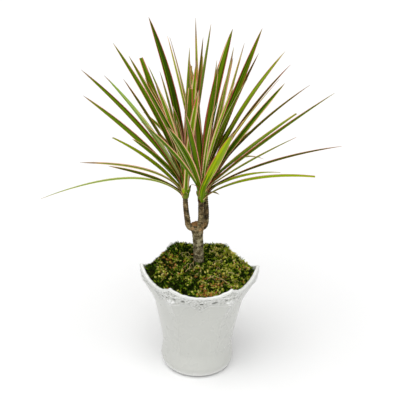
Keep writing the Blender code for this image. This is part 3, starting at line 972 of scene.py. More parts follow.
@dataclass
class Moss:
    """The mound of moss: a dark bed under many small sprigs in colours that run in patches.

    Lengths of tufts, fronds, clumps and hops are in millimetres, all others in metres.
    """

    pot: Pot
    crown: float = 0.194
    rounding: float = 2.4
    back_rounding: float = 5.5
    edge_share: float = 0.84
    corner_drop: float = 0.14
    corner_from: float = 0.80
    corner_span: float = 0.18
    back_rise: float = 0.0015
    back_from: float = 0.06
    lumps: float = 1.8 * MM
    ruffle: float = 1.6 * MM
    hole: float = 0.0085
    centre: Pair = (-0.0012, 0.0)
    tufts: int = 3400
    tuft_sizes: Pair = (3.6, 6.0)
    tuft_sinks: Pair = (-2.2, -0.6)
    leaflets: int = 6
    leaflet_turn: float = 2.4
    fronds: int = 6400
    frond_lengths: Pair = (4.8, 8.2)
    frond_pitches: Pair = (0.25, 1.15)
    frond_sinks: Pair = (-1.5, 0.3)
    frond_leaflets: Pair = (1.8, 2.6)
    clump_height: float = 3.0
    seed: int = 11
    bed_rings: int = 46
    bed_steps: int = 240
    rust_patches: tuple[Point, ...] = (
        (-0.058, 0.004, 0.019),
        (-0.040, -0.018, 0.010),
        (-0.022, -0.036, 0.013),
        (-0.006, -0.048, 0.010),
        (0.012, -0.072, 0.018),
        (0.030, -0.058, 0.016),
        (0.076, -0.030, 0.012),
    )
    stray_fronds: tuple[tuple[float, float, float, MossKind], ...] = (
        (-0.024, 0.070, 12.0, MossKind.BRIGHT),
        (-0.031, 0.066, 9.0, MossKind.RUSTY),
        (0.021, 0.072, 9.0, MossKind.BRIGHT),
        (0.046, 0.062, 9.0, MossKind.GREEN),
        (0.058, 0.044, 11.0, MossKind.BRIGHT),
        (0.068, 0.020, 10.0, MossKind.GREEN),
        (-0.068, 0.040, 8.0, MossKind.GOLDEN),
        (-0.055, 0.052, 9.0, MossKind.GREEN),
        (0.074, -0.002, 10.0, MossKind.BRIGHT),
    )
    kinds_by_light: tuple[tuple[float, MossKind], ...] = (
        (0.18, MossKind.SHADED),
        (0.38, MossKind.DEEP),
        (0.58, MossKind.GREEN),
        (0.92, MossKind.BRIGHT),
    )
    strand_routes: tuple[tuple[Pair, Pair, float], ...] = (
        ((0.034, -0.058), (0.052, -0.072), 5.0),
        ((0.020, -0.050), (0.038, -0.060), 3.0),
    )
    strands: int = 26
    strand_spread: Pair = (0.02, 0.07)
    strand_lengths: Pair = (0.007, 0.016)
    strand_radius: float = 0.35 * MM
    dice: random.Random = field(init=False)
    sheaves: dict[MossTint, Sheaf] = field(init=False)

    def __post_init__(self) -> None:
        """Seeds the sprigs' chance and starts their sheaves, one to a colour."""
        self.dice = random.Random(self.seed)
        self.sheaves = {tint: Sheaf() for tint in MossTint}

    def top(self, angle: np.ndarray, share: np.ndarray) -> np.ndarray:
        """Points on the mound.

        Args:
            angle: Angles round the trunk.
            share: 0 at the trunk, 1 at the pot's wall.

        Returns:
            Rows of x, y, z.
        """
        at_side = smoothstep((np.abs(np.sin(angle)) - self.corner_from) / self.corner_span)
        edge = self.pot.under_lip(angle, self.edge_share - self.corner_drop * at_side)
        wall = self.pot.radius(angle, edge) - self.pot.wall - 0.3 * MM
        x = (self.centre[0] + self.hole * np.sin(angle)) * (1 - share) + wall * np.sin(angle) * share
        y = (self.centre[1] - self.hole * np.cos(angle)) * (1 - share) - wall * np.cos(angle) * share
        back = smoothstep(0.5 - np.cos(angle) * 1.2)
        dome = edge + (self.crown - edge) * (1 - share ** (self.rounding + self.back_rounding * back))
        behind = self.back_rise * np.clip(y / self.back_from, 0.0, 1.2)
        lumps = np.sin(150 * x + 1.1) * np.cos(170 * y + 0.4) + 0.6 * np.sin(310 * x - 260 * y)
        height = dome + behind * (1 - share**4) + self.lumps * lumps * (1 - share**6)
        return np.stack((x, y, height), axis=-1)

    def bed(self) -> None:
        """Builds the dark bed that the sprigs stand on."""
        angle = np.arange(self.bed_steps) * 2 * math.pi / self.bed_steps
        rows = []
        for k in range(self.bed_rings + 1):
            row = self.top(angle, np.full(self.bed_steps, k / self.bed_rings))
            spots = [Vector(point) for point in row]
            waves = [noise.noise(spot * 420) + 0.6 * noise.noise(spot * 900) for spot in spots]
            row[:, 2] += np.array(waves) * self.ruffle - self.ruffle
            rows.append(row)
        for share in (0.28, 0.0):
            height = self.pot.under_lip(angle, share)
            reach = self.pot.radius(angle, height) - self.pot.wall - 0.6 * MM
            rows.append(ring_at(angle, reach, height))
        faces = ring_faces(len(rows), self.bed_steps)
        sheaf = Sheaf()
        sheaf.add(np.array(rows), faces, [0] * len(faces))
        settle(sheaf.join("moss_bed", (MossBedFinish().make(),)), "moss", "moss")

    def kind(self, spot: Vector) -> MossKind:
        """The kind of one sprig: patches of rust, painted shade in the gaps between clumps and new growth
        over mixed greens, painted lighter to the right and on the clumps' tops and darker at the back left.

        Args:
            spot: Where the sprig stands.

        Returns:
            The kind.
        """
        clump = self.clump(spot)
        if clump < -0.12:
            return MossKind.SHADED if self.dice.random() < 0.75 else MossKind.DEEP
        rusty = 0.0
        for x, y, size in self.rust_patches:
            rusty = max(rusty, 1.15 - math.hypot(spot.x - x, spot.y - y) / size)
        rusty = max(rusty, (noise.noise(spot * 75 + Vector((9, 3, 1))) - 0.25) * 2.0)
        # Painted light and shade: over the patches of new growth, sprigs are painted lighter to the right and
        # on the clumps' tops, and darker at the back left.
        growth_and_light = 0.6 * noise.noise(spot * 70 + Vector((4, 2, 8))) + min(0.2, max(-0.2, spot.x * 4))
        growth_and_light += 0.9 * clump - (0.16 if spot.y > 0.012 and spot.x < 0.0 else 0.0)
        if self.dice.random() < 0.75 * rusty:
            return self.dice.choice((MossKind.RUSTY, MossKind.RUSTY, MossKind.GOLDEN, MossKind.DEEP))
        light = self.dice.gauss(0.42, 0.24) + growth_and_light
        for limit, kind in self.kinds_by_light:
            if light < limit:
                return kind
        return MossKind.BRIGHT if self.dice.random() < 0.5 else MossKind.GOLDEN

    def midway(self, spot: Vector) -> float:
        """How far a place is from the pot's corners: 0 in line with one, 1 in the middle of a side."""
        return 1 - abs(float(self.pot.along_side(math.atan2(spot.x, -spot.y))))

    @staticmethod
    def clump(spot: Vector) -> float:
        """How far a place is up on a clump, above 0, or down in a gap, below 0."""
        return noise.noise(spot * 150 + Vector((2, 5, 3))) + 0.5 * noise.noise(spot * 310)

    def stand(self, count: int, chance: np.random.Generator) -> list[tuple[Vector, Vector, float]]:
        """Deals out places on the mound, thicker along the pot's wall at the back.

        Args:
            count: How many.
            chance: The seeded chance.

        Returns:
            Each place's foot, the mound's facing there, and 0 at the trunk to 1 at the wall.
        """
        angle = chance.uniform(0, 2 * math.pi, count)
        share = np.sqrt(chance.uniform(0.0, 1.0, count))
        edge = chance.uniform(0.0, 1.0, count) < 0.07
        angle = np.where(edge, math.pi + chance.uniform(-1.45, 1.45, count), angle)
        share = np.where(edge, chance.uniform(0.95, 1.0, count), share)
        spots = self.top(angle, share)
        ahead = self.top(angle, share + 0.02) - spots
        across = self.top(angle + 0.03, share) - spots
        normals = np.cross(across, ahead)
        normals /= np.linalg.norm(normals, axis=1)[:, None]
        normals *= np.where(normals[:, 2] < 0, -1.0, 1.0)[:, None]
        return [(Vector(a), Vector(b), float(c)) for a, b, c in zip(spots, normals, share)]

    def sprigs(self) -> None:
        """Builds the sprigs, star tufts and feathered fronds, one piece to a colour."""
        chance = np.random.default_rng(self.seed)
        for spot, normal, near_wall in self.stand(self.tufts, chance):
            self._tuft(spot, normal, near_wall)
        for spot, normal, near_wall in self.stand(self.fronds, chance):
            self._frond(spot, normal, near_wall)
        for x, y, reach, kind in self.stray_fronds:
            foot = Vector((x, y, self.height_at(x, y) - 1.0 * MM))
            for _ in range(4):
                way = Vector((self.dice.gauss(0.1, 0.45), self.dice.gauss(0.1, 0.3), 1.0)).normalized()
                flat = way.cross(Vector((0.0, -1.0, 0.4))).normalized()
                self._feather(kind, foot, way, flat, reach * self.dice.uniform(0.7, 1.0) * MM)
        for tint, sheaf in self.sheaves.items():
            piece = sheaf.join(tint.value.name, (tint.value.make(),), smooth=False)
            settle(piece, "moss", "moss")

    def _leaflet(self, kind: MossKind, foot: Vector, out: Vector, flat: Vector, width: float) -> None:
        """Adds one folded, pointed leaflet, its foot painted darker than its tip as shade.

        Args:
            kind: Its colouring.
            foot: Where it starts.
            out: The way to its tip.
            flat: The way across it.
            width: Half its width.
        """
        lift = flat.cross(out.normalized()) * width * 0.5
        middle = foot + out * 0.45
        points = [foot, middle + flat * width + lift, middle, middle - flat * width + lift, foot + out]
        rows = np.array([tuple(point) for point in points])
        lower, upper = self.dice.choice(kind.value[0]), self.dice.choice(kind.value[1])
        self.sheaves[lower].add(rows[:4], ((0, 1, 2), (0, 2, 3)), (0, 0))
        self.sheaves[upper].add(rows[1:], ((0, 3, 1), (1, 3, 2)), (0, 0))

    def _tuft(self, spot: Vector, normal: Vector, near_wall: float) -> None:
        """Adds one star-shaped tuft.

        Args:
            spot: Its foot.
            normal: The mound's facing there.
            near_wall: 0 at the trunk, 1 at the pot's wall.
        """
        dice = self.dice
        kind = self.kind(spot)
        size = dice.uniform(*self.tuft_sizes) * MM
        behind = near_wall > 0.9 and spot.y > 0.0
        midway = self.midway(spot)
        if behind:
            size *= 0.45 + 1.0 * midway
        elif near_wall > 0.93:
            size *= 0.8
        lean = Vector((dice.gauss(0, 0.35), dice.gauss(0, 0.35), 0.0))
        if behind:
            lean += Vector((spot.x, spot.y, 0.0)).normalized() * dice.uniform(0.1, 0.5 + 0.8 * midway)
        way = (normal + lean).normalized()
        side = way.orthogonal().normalized()
        other = way.cross(side)
        foot = spot + normal * (dice.uniform(*self.tuft_sinks) + self.clump_height * self.clump(spot)) * MM
        start = dice.uniform(0, 2 * math.pi)
        for k in range(self.leaflets):
            turn = start + k * self.leaflet_turn
            # Painted shade: most leaflets lie low and flat and take the dark shaded kinds; the rest rise in
            # the tuft's own kind.
            low = dice.random() < 0.7
            shown = dice.choice((MossKind.SHADED, MossKind.DEEP)) if low else kind
            spread = dice.uniform(0.8, 1.45) if low else dice.uniform(0.2, 1.1)
            out = (math.cos(turn) * side + math.sin(turn) * other) * math.sin(spread)
            out = (out + way * math.cos(spread)).normalized()
            flat = out.cross(way + side * 0.3).normalized()
            length = size * dice.uniform(0.6, 1.1)
            self._leaflet(shown, foot, out * length, flat, length * dice.uniform(0.10, 0.16))

    def _frond(self, spot: Vector, normal: Vector, near_wall: float) -> None:
        """Adds one feathered frond that lies half over its neighbours.

        Args:
            spot: Its foot.
            normal: The mound's facing there.
            near_wall: 0 at the trunk, 1 at the pot's wall.
        """
        dice = self.dice
        kind = self.kind(spot)
        side = normal.orthogonal().normalized()
        turn = dice.uniform(0, 2 * math.pi)
        over = math.cos(turn) * side + math.sin(turn) * normal.cross(side)
        outward = Vector((spot.x, spot.y, 0.0)).normalized()
        length = dice.uniform(*self.frond_lengths) * MM
        pitch = dice.uniform(*self.frond_pitches)
        if near_wall > 0.88 and spot.y < 0:
            over = (over - outward * 1.3).normalized()
        elif near_wall > 0.88:
            over = (over + outward * (1.6 * self.midway(spot) - 0.7)).normalized()
            length *= 0.5 + 0.7 * self.midway(spot)
        way = (over * math.cos(pitch) + normal * math.sin(pitch)).normalized()
        flat = way.cross(normal).normalized()
        foot = spot + normal * (dice.uniform(*self.frond_sinks) + self.clump_height * self.clump(spot)) * MM
        self._feather(kind, foot, way, flat, length)

    def _feather(self, kind: MossKind, foot: Vector, way: Vector, flat: Vector, length: float) -> None:
        """Adds the leaflets of one frond, in pairs that shorten to its drooping tip.

        Args:
            kind: Its colouring.
            foot: Where it starts.
            way: The way it points.
            flat: The way across it.
            length: Its length.
        """
        dice = self.dice
        pairs = dice.randint(4, 6)
        above = flat.cross(way)
        lower, upper = dice.choice(kind.value[0]), dice.choice(kind.value[1])
        long = dice.uniform(*self.frond_leaflets) * MM
        for k in range(pairs + 1):
            share = (k + 0.6) / (pairs + 1)
            at = foot + way * length * share - UP * length * 0.22 * share**2
            small = long * (1.1 - 0.55 * share) * (0.7 if k == 0 else 1.0)
            # Painted shade: leaflets near the frond's foot take its darker lower tint.
            tint = upper if share > dice.uniform(0.2, 0.5) else lower
            for hand in (-1, 1) if k < pairs else (0,):
                out = (way * 0.8 + flat * hand * 0.75 + above * dice.uniform(-0.1, 0.35)).normalized()
                wide = above.cross(out).normalized() * small * 0.25
                middle = at + out * small * 0.45
                corners = (at, middle - wide, at + out * small, middle + wide)
                self.sheaves[tint].add(np.array([tuple(corner) for corner in corners]), ((0, 1, 2, 3),), (0,))

    def strays(self) -> None:
        """Builds the pale dry strands that lie over the moss and stick out of it."""
        dice = random.Random(self.seed + 1)
        sheaf = Sheaf()
        routes = list(self.strand_routes)
        for _ in range(self.strands):
            turn = dice.uniform(0, 2 * math.pi)
            far = dice.uniform(*self.strand_spread)
            x, y = far * math.sin(turn), -far * math.cos(turn)
            swing = dice.uniform(0, 2 * math.pi)
            long = dice.uniform(*self.strand_lengths)
            end = (x + long * math.cos(swing), y + long * math.sin(swing))
            routes.append(((x, y), end, dice.uniform(2, 6)))
        for start, end, hop in routes:
            path = []
            for share in np.linspace(0.0, 1.0, 9):
                x = start[0] + (end[0] - start[0]) * share
                y = start[1] + (end[1] - start[1]) * share
                lift = (2.2 + hop * 4 * share * (1 - share)) * MM
                path.append(Vector((x, y, self.height_at(x, y) + lift)))
            self._strand(sheaf, path)
        settle(sheaf.join("moss_strands", (MossTint.STRAW.value.make(),)), "moss", "moss")

    def height_at(self, x: float, y: float) -> float:
        """The mound's height at a point.

        Args:
            x: Across.
            y: Back.

        Returns:
            The height.
        """
        angle = np.array([math.atan2(x - self.centre[0], -(y - self.centre[1]))])
        rim = self.top(angle, np.ones(1))[0]
        far = math.hypot(rim[0] - self.centre[0], rim[1] - self.centre[1]) - self.hole
        share = (math.hypot(x - self.centre[0], y - self.centre[1]) - self.hole) / far
        return float(self.top(angle, np.array([min(max(share, 0.0), 1.0)]))[0][2])

    def _strand(self, sheaf: Sheaf, path: Sequence[Vector], sides: int = 5) -> None:
        """Adds a thin strand along a path.

        Args:
            sheaf: Where it is gathered.
            path: The points it follows.
            sides: How many sides it has.
        """
        points = []
        for i, point in enumerate(path):
            ahead = heading(path, i)
            side = ahead.orthogonal().normalized()
            other = ahead.cross(side)
            thin = self.strand_radius * (1 - 0.7 * i / len(path))
            for k in range(sides):
                turn = 2 * math.pi * k / sides
                points.append(tuple(point + thin * (math.cos(turn) * side + math.sin(turn) * other)))
        faces = ring_faces(len(path), sides)
        sheaf.add(np.array(points), faces, [0] * len(faces))

    def build(self) -> None:
        """Builds and dresses the whole mound."""
        self.bed()
        self.sprigs()
        self.strays()


# Trunk and stems


@dataclass(frozen=True)
class Head:
    """A stem's collar on the knuckle, its top where the leaves start, and its radii."""

    name: str
    collar: tuple[Point, ...]
    collar_radius: float
    top: Point
    radius: float


HEADS = (
    Head(
        "left",
        ((-0.0080, 0.0, 0.2540), (-0.0168, 0.0, 0.2550), (-0.0212, 0.0, 0.2605), (-0.0224, 0.0, 0.2680)),
        0.0048,
        (-0.0268, 0.0, 0.3080),
        0.0041,
    ),
    Head(
        "front",
        ((-0.0040, -0.0030, 0.2550), (-0.0012, -0.0050, 0.2615), (-0.0006, -0.0058, 0.2690)),
        0.0052,
        (-0.0012, -0.0062, 0.3050),
        0.0046,
    ),
    Head(
        "back",
        (
            (-0.0020, 0.0020, 0.2530),
            (0.0046, 0.0055, 0.2555),
            (0.0074, 0.0070, 0.2610),
            (0.0079, 0.0072, 0.2690),
        ),
        0.0048,
        (0.0054, 0.0078, 0.3130),
        0.0043,
    ),
)
LIMB_NODES = ("trunk", *(f"stem_{head.name}" for head in HEADS))


@dataclass
class Limbs:
    """The trunk, its knuckle and the three stems, joined into one skin with the bark's relief."""

    path: tuple[Point, ...] = (
        (-0.0005, 0.000, 0.1403),
        (-0.0012, 0.000, 0.166),
        (-0.0018, 0.000, 0.190),
        (-0.0030, 0.000, 0.215),
        (-0.0048, 0.000, 0.240),
        (-0.0058, 0.000, 0.251),
        (-0.0062, 0.000, 0.259),
        (-0.0062, 0.000, 0.2632),
    )
    radii: tuple[float, ...] = (0.0097, 0.0090, 0.0086, 0.0085, 0.0088, 0.0102, 0.0110, 0.0098)
    trunk_sides: int = 40
    stem_sides: int = 28
    steps: int = 5
    voxel: float = 0.55 * MM
    foliage_height: float = 0.040
    knuckle: Pair = (0.246, 0.268)
    cut: Pair = (0.2595, 0.266)
    trunk_rings: float = 8.2 * MM
    stem_rings: float = 3.4 * MM

    @staticmethod
    def smooth_path(corners: Sequence[Point], steps: int) -> list[Vector]:
        """Points along a curve that passes through each corner of a route.

        Args:
            corners: The route.
            steps: How many points to a corner.

        Returns:
            The points.
        """
        points = [Vector(corner) for corner in corners]
        guides = [2 * points[0] - points[1], *points, 2 * points[-1] - points[-2]]
        out = []
        for a, b, c, d in zip(guides, guides[1:], guides[2:], guides[3:]):
            for k in range(steps):
                t = k / steps
                bend = 2 * a - 5 * b + 4 * c - d
                twist = 3 * b - a - 3 * c + d
                out.append(0.5 * (2 * b + (c - a) * t + bend * t**2 + twist * t**3))
        out.append(points[-1])
        return out

    @staticmethod
    def tube(body: Sheaf, path: Sequence[Vector], radii: Sequence[float], sides: int) -> None:
        """Adds a closed round tube to a mesh.

        Args:
            body: The mesh in the making.
            path: The points it follows.
            radii: Its radius at each point.
            sides: How many sides it has.
        """
        points = []
        side = Vector((1.0, 0.0, 0.0))
        turns = [2 * math.pi * k / sides for k in range(sides)]
        for i, (point, radius) in enumerate(zip(path, radii)):
            ahead = heading(path, i)
            side = (side - ahead * side.dot(ahead)).normalized()
            other = ahead.cross(side)
            points += [tuple(point + radius * (math.cos(t) * side + math.sin(t) * other)) for t in turns]
        faces = ring_faces(len(path), sides, capped=True)
        body.add(np.array(points), faces, [0] * len(faces))

    def stem_path(self, head: Head) -> tuple[list[Vector], list[float]]:
        """The way and radii of one stem, collar and all, up into its head of leaves.

        Args:
            head: The stem's head.

        Returns:
            The points and the radii.
        """
        collar = self.smooth_path(head.collar, 4)
        start, top = collar[-1], Vector(head.top)
        lead = (Vector(head.collar[-1]) - Vector(head.collar[-2])).normalized()
        pull = (top - start).length / 3
        bare = [bezier((start, start + lead * pull, top - UP * pull, top), k / 10) for k in range(1, 11)]
        path = [*collar, *bare, top + UP * self.foliage_height]
        radii = [head.collar_radius * 1.02] * len(collar)
        radii += [head.collar_radius + (head.radius - head.collar_radius) * k / 10 for k in range(1, 11)]
        radii.append(head.radius * 0.55)
        return path, radii

    def bark_height(self, spot: Vector, facing: Vector) -> float:
        """How far the bark stands out at a point, in millimetres.

        Args:
            spot: The point.
            facing: The skin's facing there.

        Returns:
            The height.
        """
        warp = noise.noise(spot * 130) * 1.6
        fine = noise.noise(spot * 900) * 0.16 + noise.noise(spot * 420) * 0.22
        fissures = noise.noise(Vector((spot.x * 650, spot.y * 650, spot.z * 150)))
        height = fine - 0.28 * max(0.0, fissures - 0.15)
        if spot.z < self.knuckle[0]:
            ring = math.sin(2 * math.pi * (spot.z / self.trunk_rings) + warp)
            height += 0.26 * ring - 0.55 * max(0.0, ring - 0.86) / 0.14 * 0.5
        elif spot.z > self.knuckle[1]:
            turn = math.atan2(spot.x + 0.01, spot.y)
            height += 0.26 * math.sin(2 * math.pi * spot.z / self.stem_rings + warp + math.sin(turn * 2))
        else:
            height += 0.5 * noise.noise(spot * 260 + Vector((3, 1, 2)))
        if facing.z > 0.7 and self.cut[0] < spot.z < self.cut[1]:
            height += 0.9 * noise.noise(spot * 520) + 0.5 * noise.noise(spot * 1300)
        return height

    def build(self) -> None:
        """Builds and dresses the trunk, knuckle and stems."""
        body = Sheaf()
        self.tube(body, self.smooth_path(self.path, self.steps), self._eased_radii(), self.trunk_sides)
        for head in HEADS:
            self.tube(body, *self.stem_path(head), self.stem_sides)
        piece = body.join("trunk_bark", (), smooth=False)
        rough = piece.data
        remesh = piece.modifiers.new("skin", "REMESH")
        remesh.mode = "VOXEL"
        remesh.voxel_size = self.voxel
        soften = piece.modifiers.new("soften", "SMOOTH")
        soften.factor = 0.5
        soften.iterations = 5
        graph = bpy.context.evaluated_depsgraph_get()
        skin = bpy.data.meshes.new_from_object(piece.evaluated_get(graph))
        piece.modifiers.clear()
        piece.data = skin
        bpy.data.meshes.remove(rough)
        skin.name = piece.name
        raised = [
            tuple(vertex.co + vertex.normal * self.bark_height(vertex.co, vertex.normal) * MM)
            for vertex in skin.vertices
        ]
        skin.vertices.foreach_set("co", np.array(raised).reshape(-1))
        skin.materials.clear()
        skin.materials.append(BarkFinish().make())
        skin.shade_smooth()
        settle(piece, "bark", *LIMB_NODES)

    def _eased_radii(self) -> list[float]:
        """The trunk's radii along its smoothed path."""
        places = np.arange((len(self.radii) - 1) * self.steps + 1) / self.steps
        return np.interp(places, np.arange(len(self.radii)), self.radii).tolist()


# Leaves


class BladeLook(Enum):
    """How a leaf is coloured across: a row of (width share, tint choices) from its middle out."""

    EDGED = (
        (0.68, (LeafTint.MID, LeafTint.MID, LeafTint.DEEP, LeafTint.OLIVE)),
        (0.12, (LeafTint.DEEP, LeafTint.MAROON, LeafTint.CREAM)),
        (0.20, (LeafTint.PINK, LeafTint.RED, LeafTint.PINK, LeafTint.CREAM)),
    )
    BROAD = (
        (0.71, (LeafTint.MID, LeafTint.DEEP, LeafTint.MID, LeafTint.OLIVE)),
        (0.12, (LeafTint.DEEP, LeafTint.MAROON, LeafTint.DEEP)),
        (0.17, (LeafTint.RED, LeafTint.PINK, LeafTint.PINK)),
    )
    STRIPED = (
        (0.48, (LeafTint.MID, LeafTint.FRESH, LeafTint.FRESH)),
        (0.31, (LeafTint.CREAM,)),
        (0.21, (LeafTint.PINK, LeafTint.PINK, LeafTint.RED)),
    )
    LIME = (
        (0.71, (LeafTint.LIME, LeafTint.FRESH, LeafTint.FRESH)),
        (0.12, (LeafTint.CREAM, LeafTint.LIME)),
        (0.17, (LeafTint.PINK, LeafTint.RED)),
    )
    PALE = (
        (0.66, (LeafTint.PALE, LeafTint.FRESH, LeafTint.UNDER, LeafTint.PALE)),
        (0.20, (LeafTint.CREAM, LeafTint.PALE)),
        (0.14, (LeafTint.PINK, LeafTint.PALE)),
    )
    # A leaf in bright lime greens: partly its own colour, partly painted highlight.
    GLOWING = (
        (0.76, (LeafTint.FRESH, LeafTint.LIME, LeafTint.FRESH, LeafTint.MID)),
        (0.09, (LeafTint.CREAM, LeafTint.LIME)),
        (0.15, (LeafTint.PINK, LeafTint.RED)),
    )
    DARK = (
        (0.66, (LeafTint.MAROON, LeafTint.OLIVE, LeafTint.DEEP)),
        (0.14, (LeafTint.DEEP, LeafTint.MAROON)),
        (0.20, (LeafTint.RED, LeafTint.PINK)),
    )
    DRY = (
        (0.62, (LeafTint.OLIVE, LeafTint.FRESH, LeafTint.STRAW)),
        (0.18, (LeafTint.CREAM, LeafTint.STRAW)),
        (0.20, (LeafTint.PINK, LeafTint.RED)),
    )
    MUTED = (
        (0.70, (LeafTint.UNDER, LeafTint.UNDER_DARK, LeafTint.FRESH)),
        (0.12, (LeafTint.PALE, LeafTint.UNDER)),
        (0.18, (LeafTint.RED, LeafTint.PINK)),
    )


GREENS = frozenset({LeafTint.DEEP, LeafTint.MID, LeafTint.OLIVE, LeafTint.FRESH, LeafTint.LIME})
# What a bright green turns to near the foot of a leaf
LOW_DOWN = {LeafTint.LIME: LeafTint.FRESH, LeafTint.FRESH: LeafTint.MID}


@dataclass(frozen=True)
class MarkedLeaf:
    """A leaf that stands out in the crown, by where its tip is.

    Millimetres: across to the right, back from the trunk, up from the underside, then how far it
    arches over the straight line to its tip and how wide it is. A cut leaf ends square, and bend_at
    is the share of that line where the leaf bends.
    """

    head: str
    across: float
    back: float
    up: float
    arch: float
    width: float = 11.0
    look: BladeLook = BladeLook.EDGED
    cut: bool = False
    bend_at: float = 0.42


MARKED_LEAVES = (
    MarkedLeaf("left", -267, 20, 290, 31, 7, BladeLook.PALE, bend_at=0.24),
    MarkedLeaf("left", -202, 30, 352, 21, 5.5, BladeLook.DRY, bend_at=0.22),
    MarkedLeaf("left", -165, 100, 323, 8, 6.5, BladeLook.DARK, bend_at=0.3),
    MarkedLeaf("left", -154, 80, 381, 10, 9, BladeLook.LIME, cut=True),
    MarkedLeaf("left", -205, 100, 447, 10, 10.5, BladeLook.BROAD),
    MarkedLeaf("left", -188, -10, 514, 10, 11.5, BladeLook.BROAD),
    MarkedLeaf("left", -170, 110, 480, 12, 11, BladeLook.PALE),
    MarkedLeaf("left", -117, -80, 518, 5, 5.5, BladeLook.DARK),
    MarkedLeaf("left", -147, 50, 545, 9, 10.5),
    MarkedLeaf("front", -103, -135, 561, 3, 10),
    MarkedLeaf("left", -105, 70, 519, 0, 12, BladeLook.BROAD, cut=True),
    MarkedLeaf("left", -89, 20, 591, 12, 13, BladeLook.BROAD),
    MarkedLeaf("front", -64, 95, 551, 3, 6, BladeLook.STRIPED),
    MarkedLeaf("front", -56, 10, 563, 5, 5.5, BladeLook.DRY),
    MarkedLeaf("left", -6, 20, 563, -1, 6, BladeLook.DARK),
    MarkedLeaf("left", 6, 105, 571, 1, 6, BladeLook.MUTED),
    MarkedLeaf("left", -25, -30, 556, 2, 6, BladeLook.MUTED),
    MarkedLeaf("front", -19, 75, 584, 4, 6, BladeLook.DRY),
    MarkedLeaf("front", 17, 60, 522, 3, 5, BladeLook.MUTED),
    MarkedLeaf("front", 39, 40, 574, 14, 15.5),
    MarkedLeaf("front", 84, 35, 577, 0, 15, BladeLook.BROAD),
    MarkedLeaf("front", 107, -45, 517, 5, 9, BladeLook.LIME),
    MarkedLeaf("front", 193, -25, 494, 4, 13.5),
    MarkedLeaf("front", 138, -50, 431, 4, 6.5, BladeLook.MUTED),
    MarkedLeaf("front", 175, -30, 362, 15, 7, BladeLook.LIME, cut=True),
    MarkedLeaf("front", 38, -180, 474, 2, 15, BladeLook.GLOWING),
    MarkedLeaf("front", -86, -140, 473, 6, 9),
    MarkedLeaf("back", 42, 30, 548, 0, 6, BladeLook.DRY),
    MarkedLeaf("front", 63, 120, 539, 3, 5.5, BladeLook.DRY),
    MarkedLeaf("back", 83, 80, 534, 5, 6, BladeLook.DARK),
    MarkedLeaf("back", 126, 75, 536, 14, 8, BladeLook.MUTED),
    MarkedLeaf("back", 141, 115, 507, 14, 5.5, BladeLook.DARK),
    MarkedLeaf("back", 126, 45, 491, 5, 10),
    MarkedLeaf("back", 168, 60, 486, 12, 6.5, BladeLook.DARK),
    MarkedLeaf("back", 156, 105, 426, 4, 8, BladeLook.MUTED, cut=True),
    MarkedLeaf("back", 112, 180, 318, 26, 6, BladeLook.DRY),
    MarkedLeaf("back", 228, 50, 388, 12, 6, BladeLook.DARK),
    MarkedLeaf("back", 138, 120, 314, 11, 8.5, BladeLook.LIME, cut=True),
    MarkedLeaf("left", -22, -60, 502, 2, 11, cut=True),
    MarkedLeaf("left", -24, 40, 515, 2, 8, BladeLook.MUTED, cut=True),
    MarkedLeaf("front", -24, -30, 526, 4, 8.5, BladeLook.STRIPED),
    MarkedLeaf("front", -24, 0, 480, 5, 8),
    MarkedLeaf("front", 11, -120, 485, 5, 6.5, BladeLook.STRIPED),
    MarkedLeaf("front", 43, -40, 509, 3, 8, BladeLook.STRIPED),
    MarkedLeaf("front", -18, -35, 344, 4, 3.5, BladeLook.DARK),
    MarkedLeaf("back", 28, -10, 319, 3, 3, BladeLook.DRY),
    MarkedLeaf("left", -92, 60, 508, 9, 6.5),
    MarkedLeaf("left", -72, 30, 507, 3, 6, BladeLook.STRIPED),
    MarkedLeaf("left", -42, -50, 452, 3, 7),
)


@dataclass(frozen=True)
class LeafForm:
    """What a leaf is like, wherever on its head it grows."""

    head: Head
    arch: float
    width: float
    look: BladeLook
    cut: bool = False
    bend_at: float = 0.42


@dataclass(frozen=True)
class Candidate:
    """A leaf that may grow: the places its tip may take, the wanted one first."""

    form: LeafForm
    tips: tuple[Vector, ...]
    by_rule: bool = False
    fill: bool = False


@dataclass(frozen=True)
class Station:
    """One ring of a blade: its share of the length, how firmly it clasps, its middle and its ways."""

    place: float
    held: float
    centre: Vector
    face: Vector
    edge: Vector
    half: float


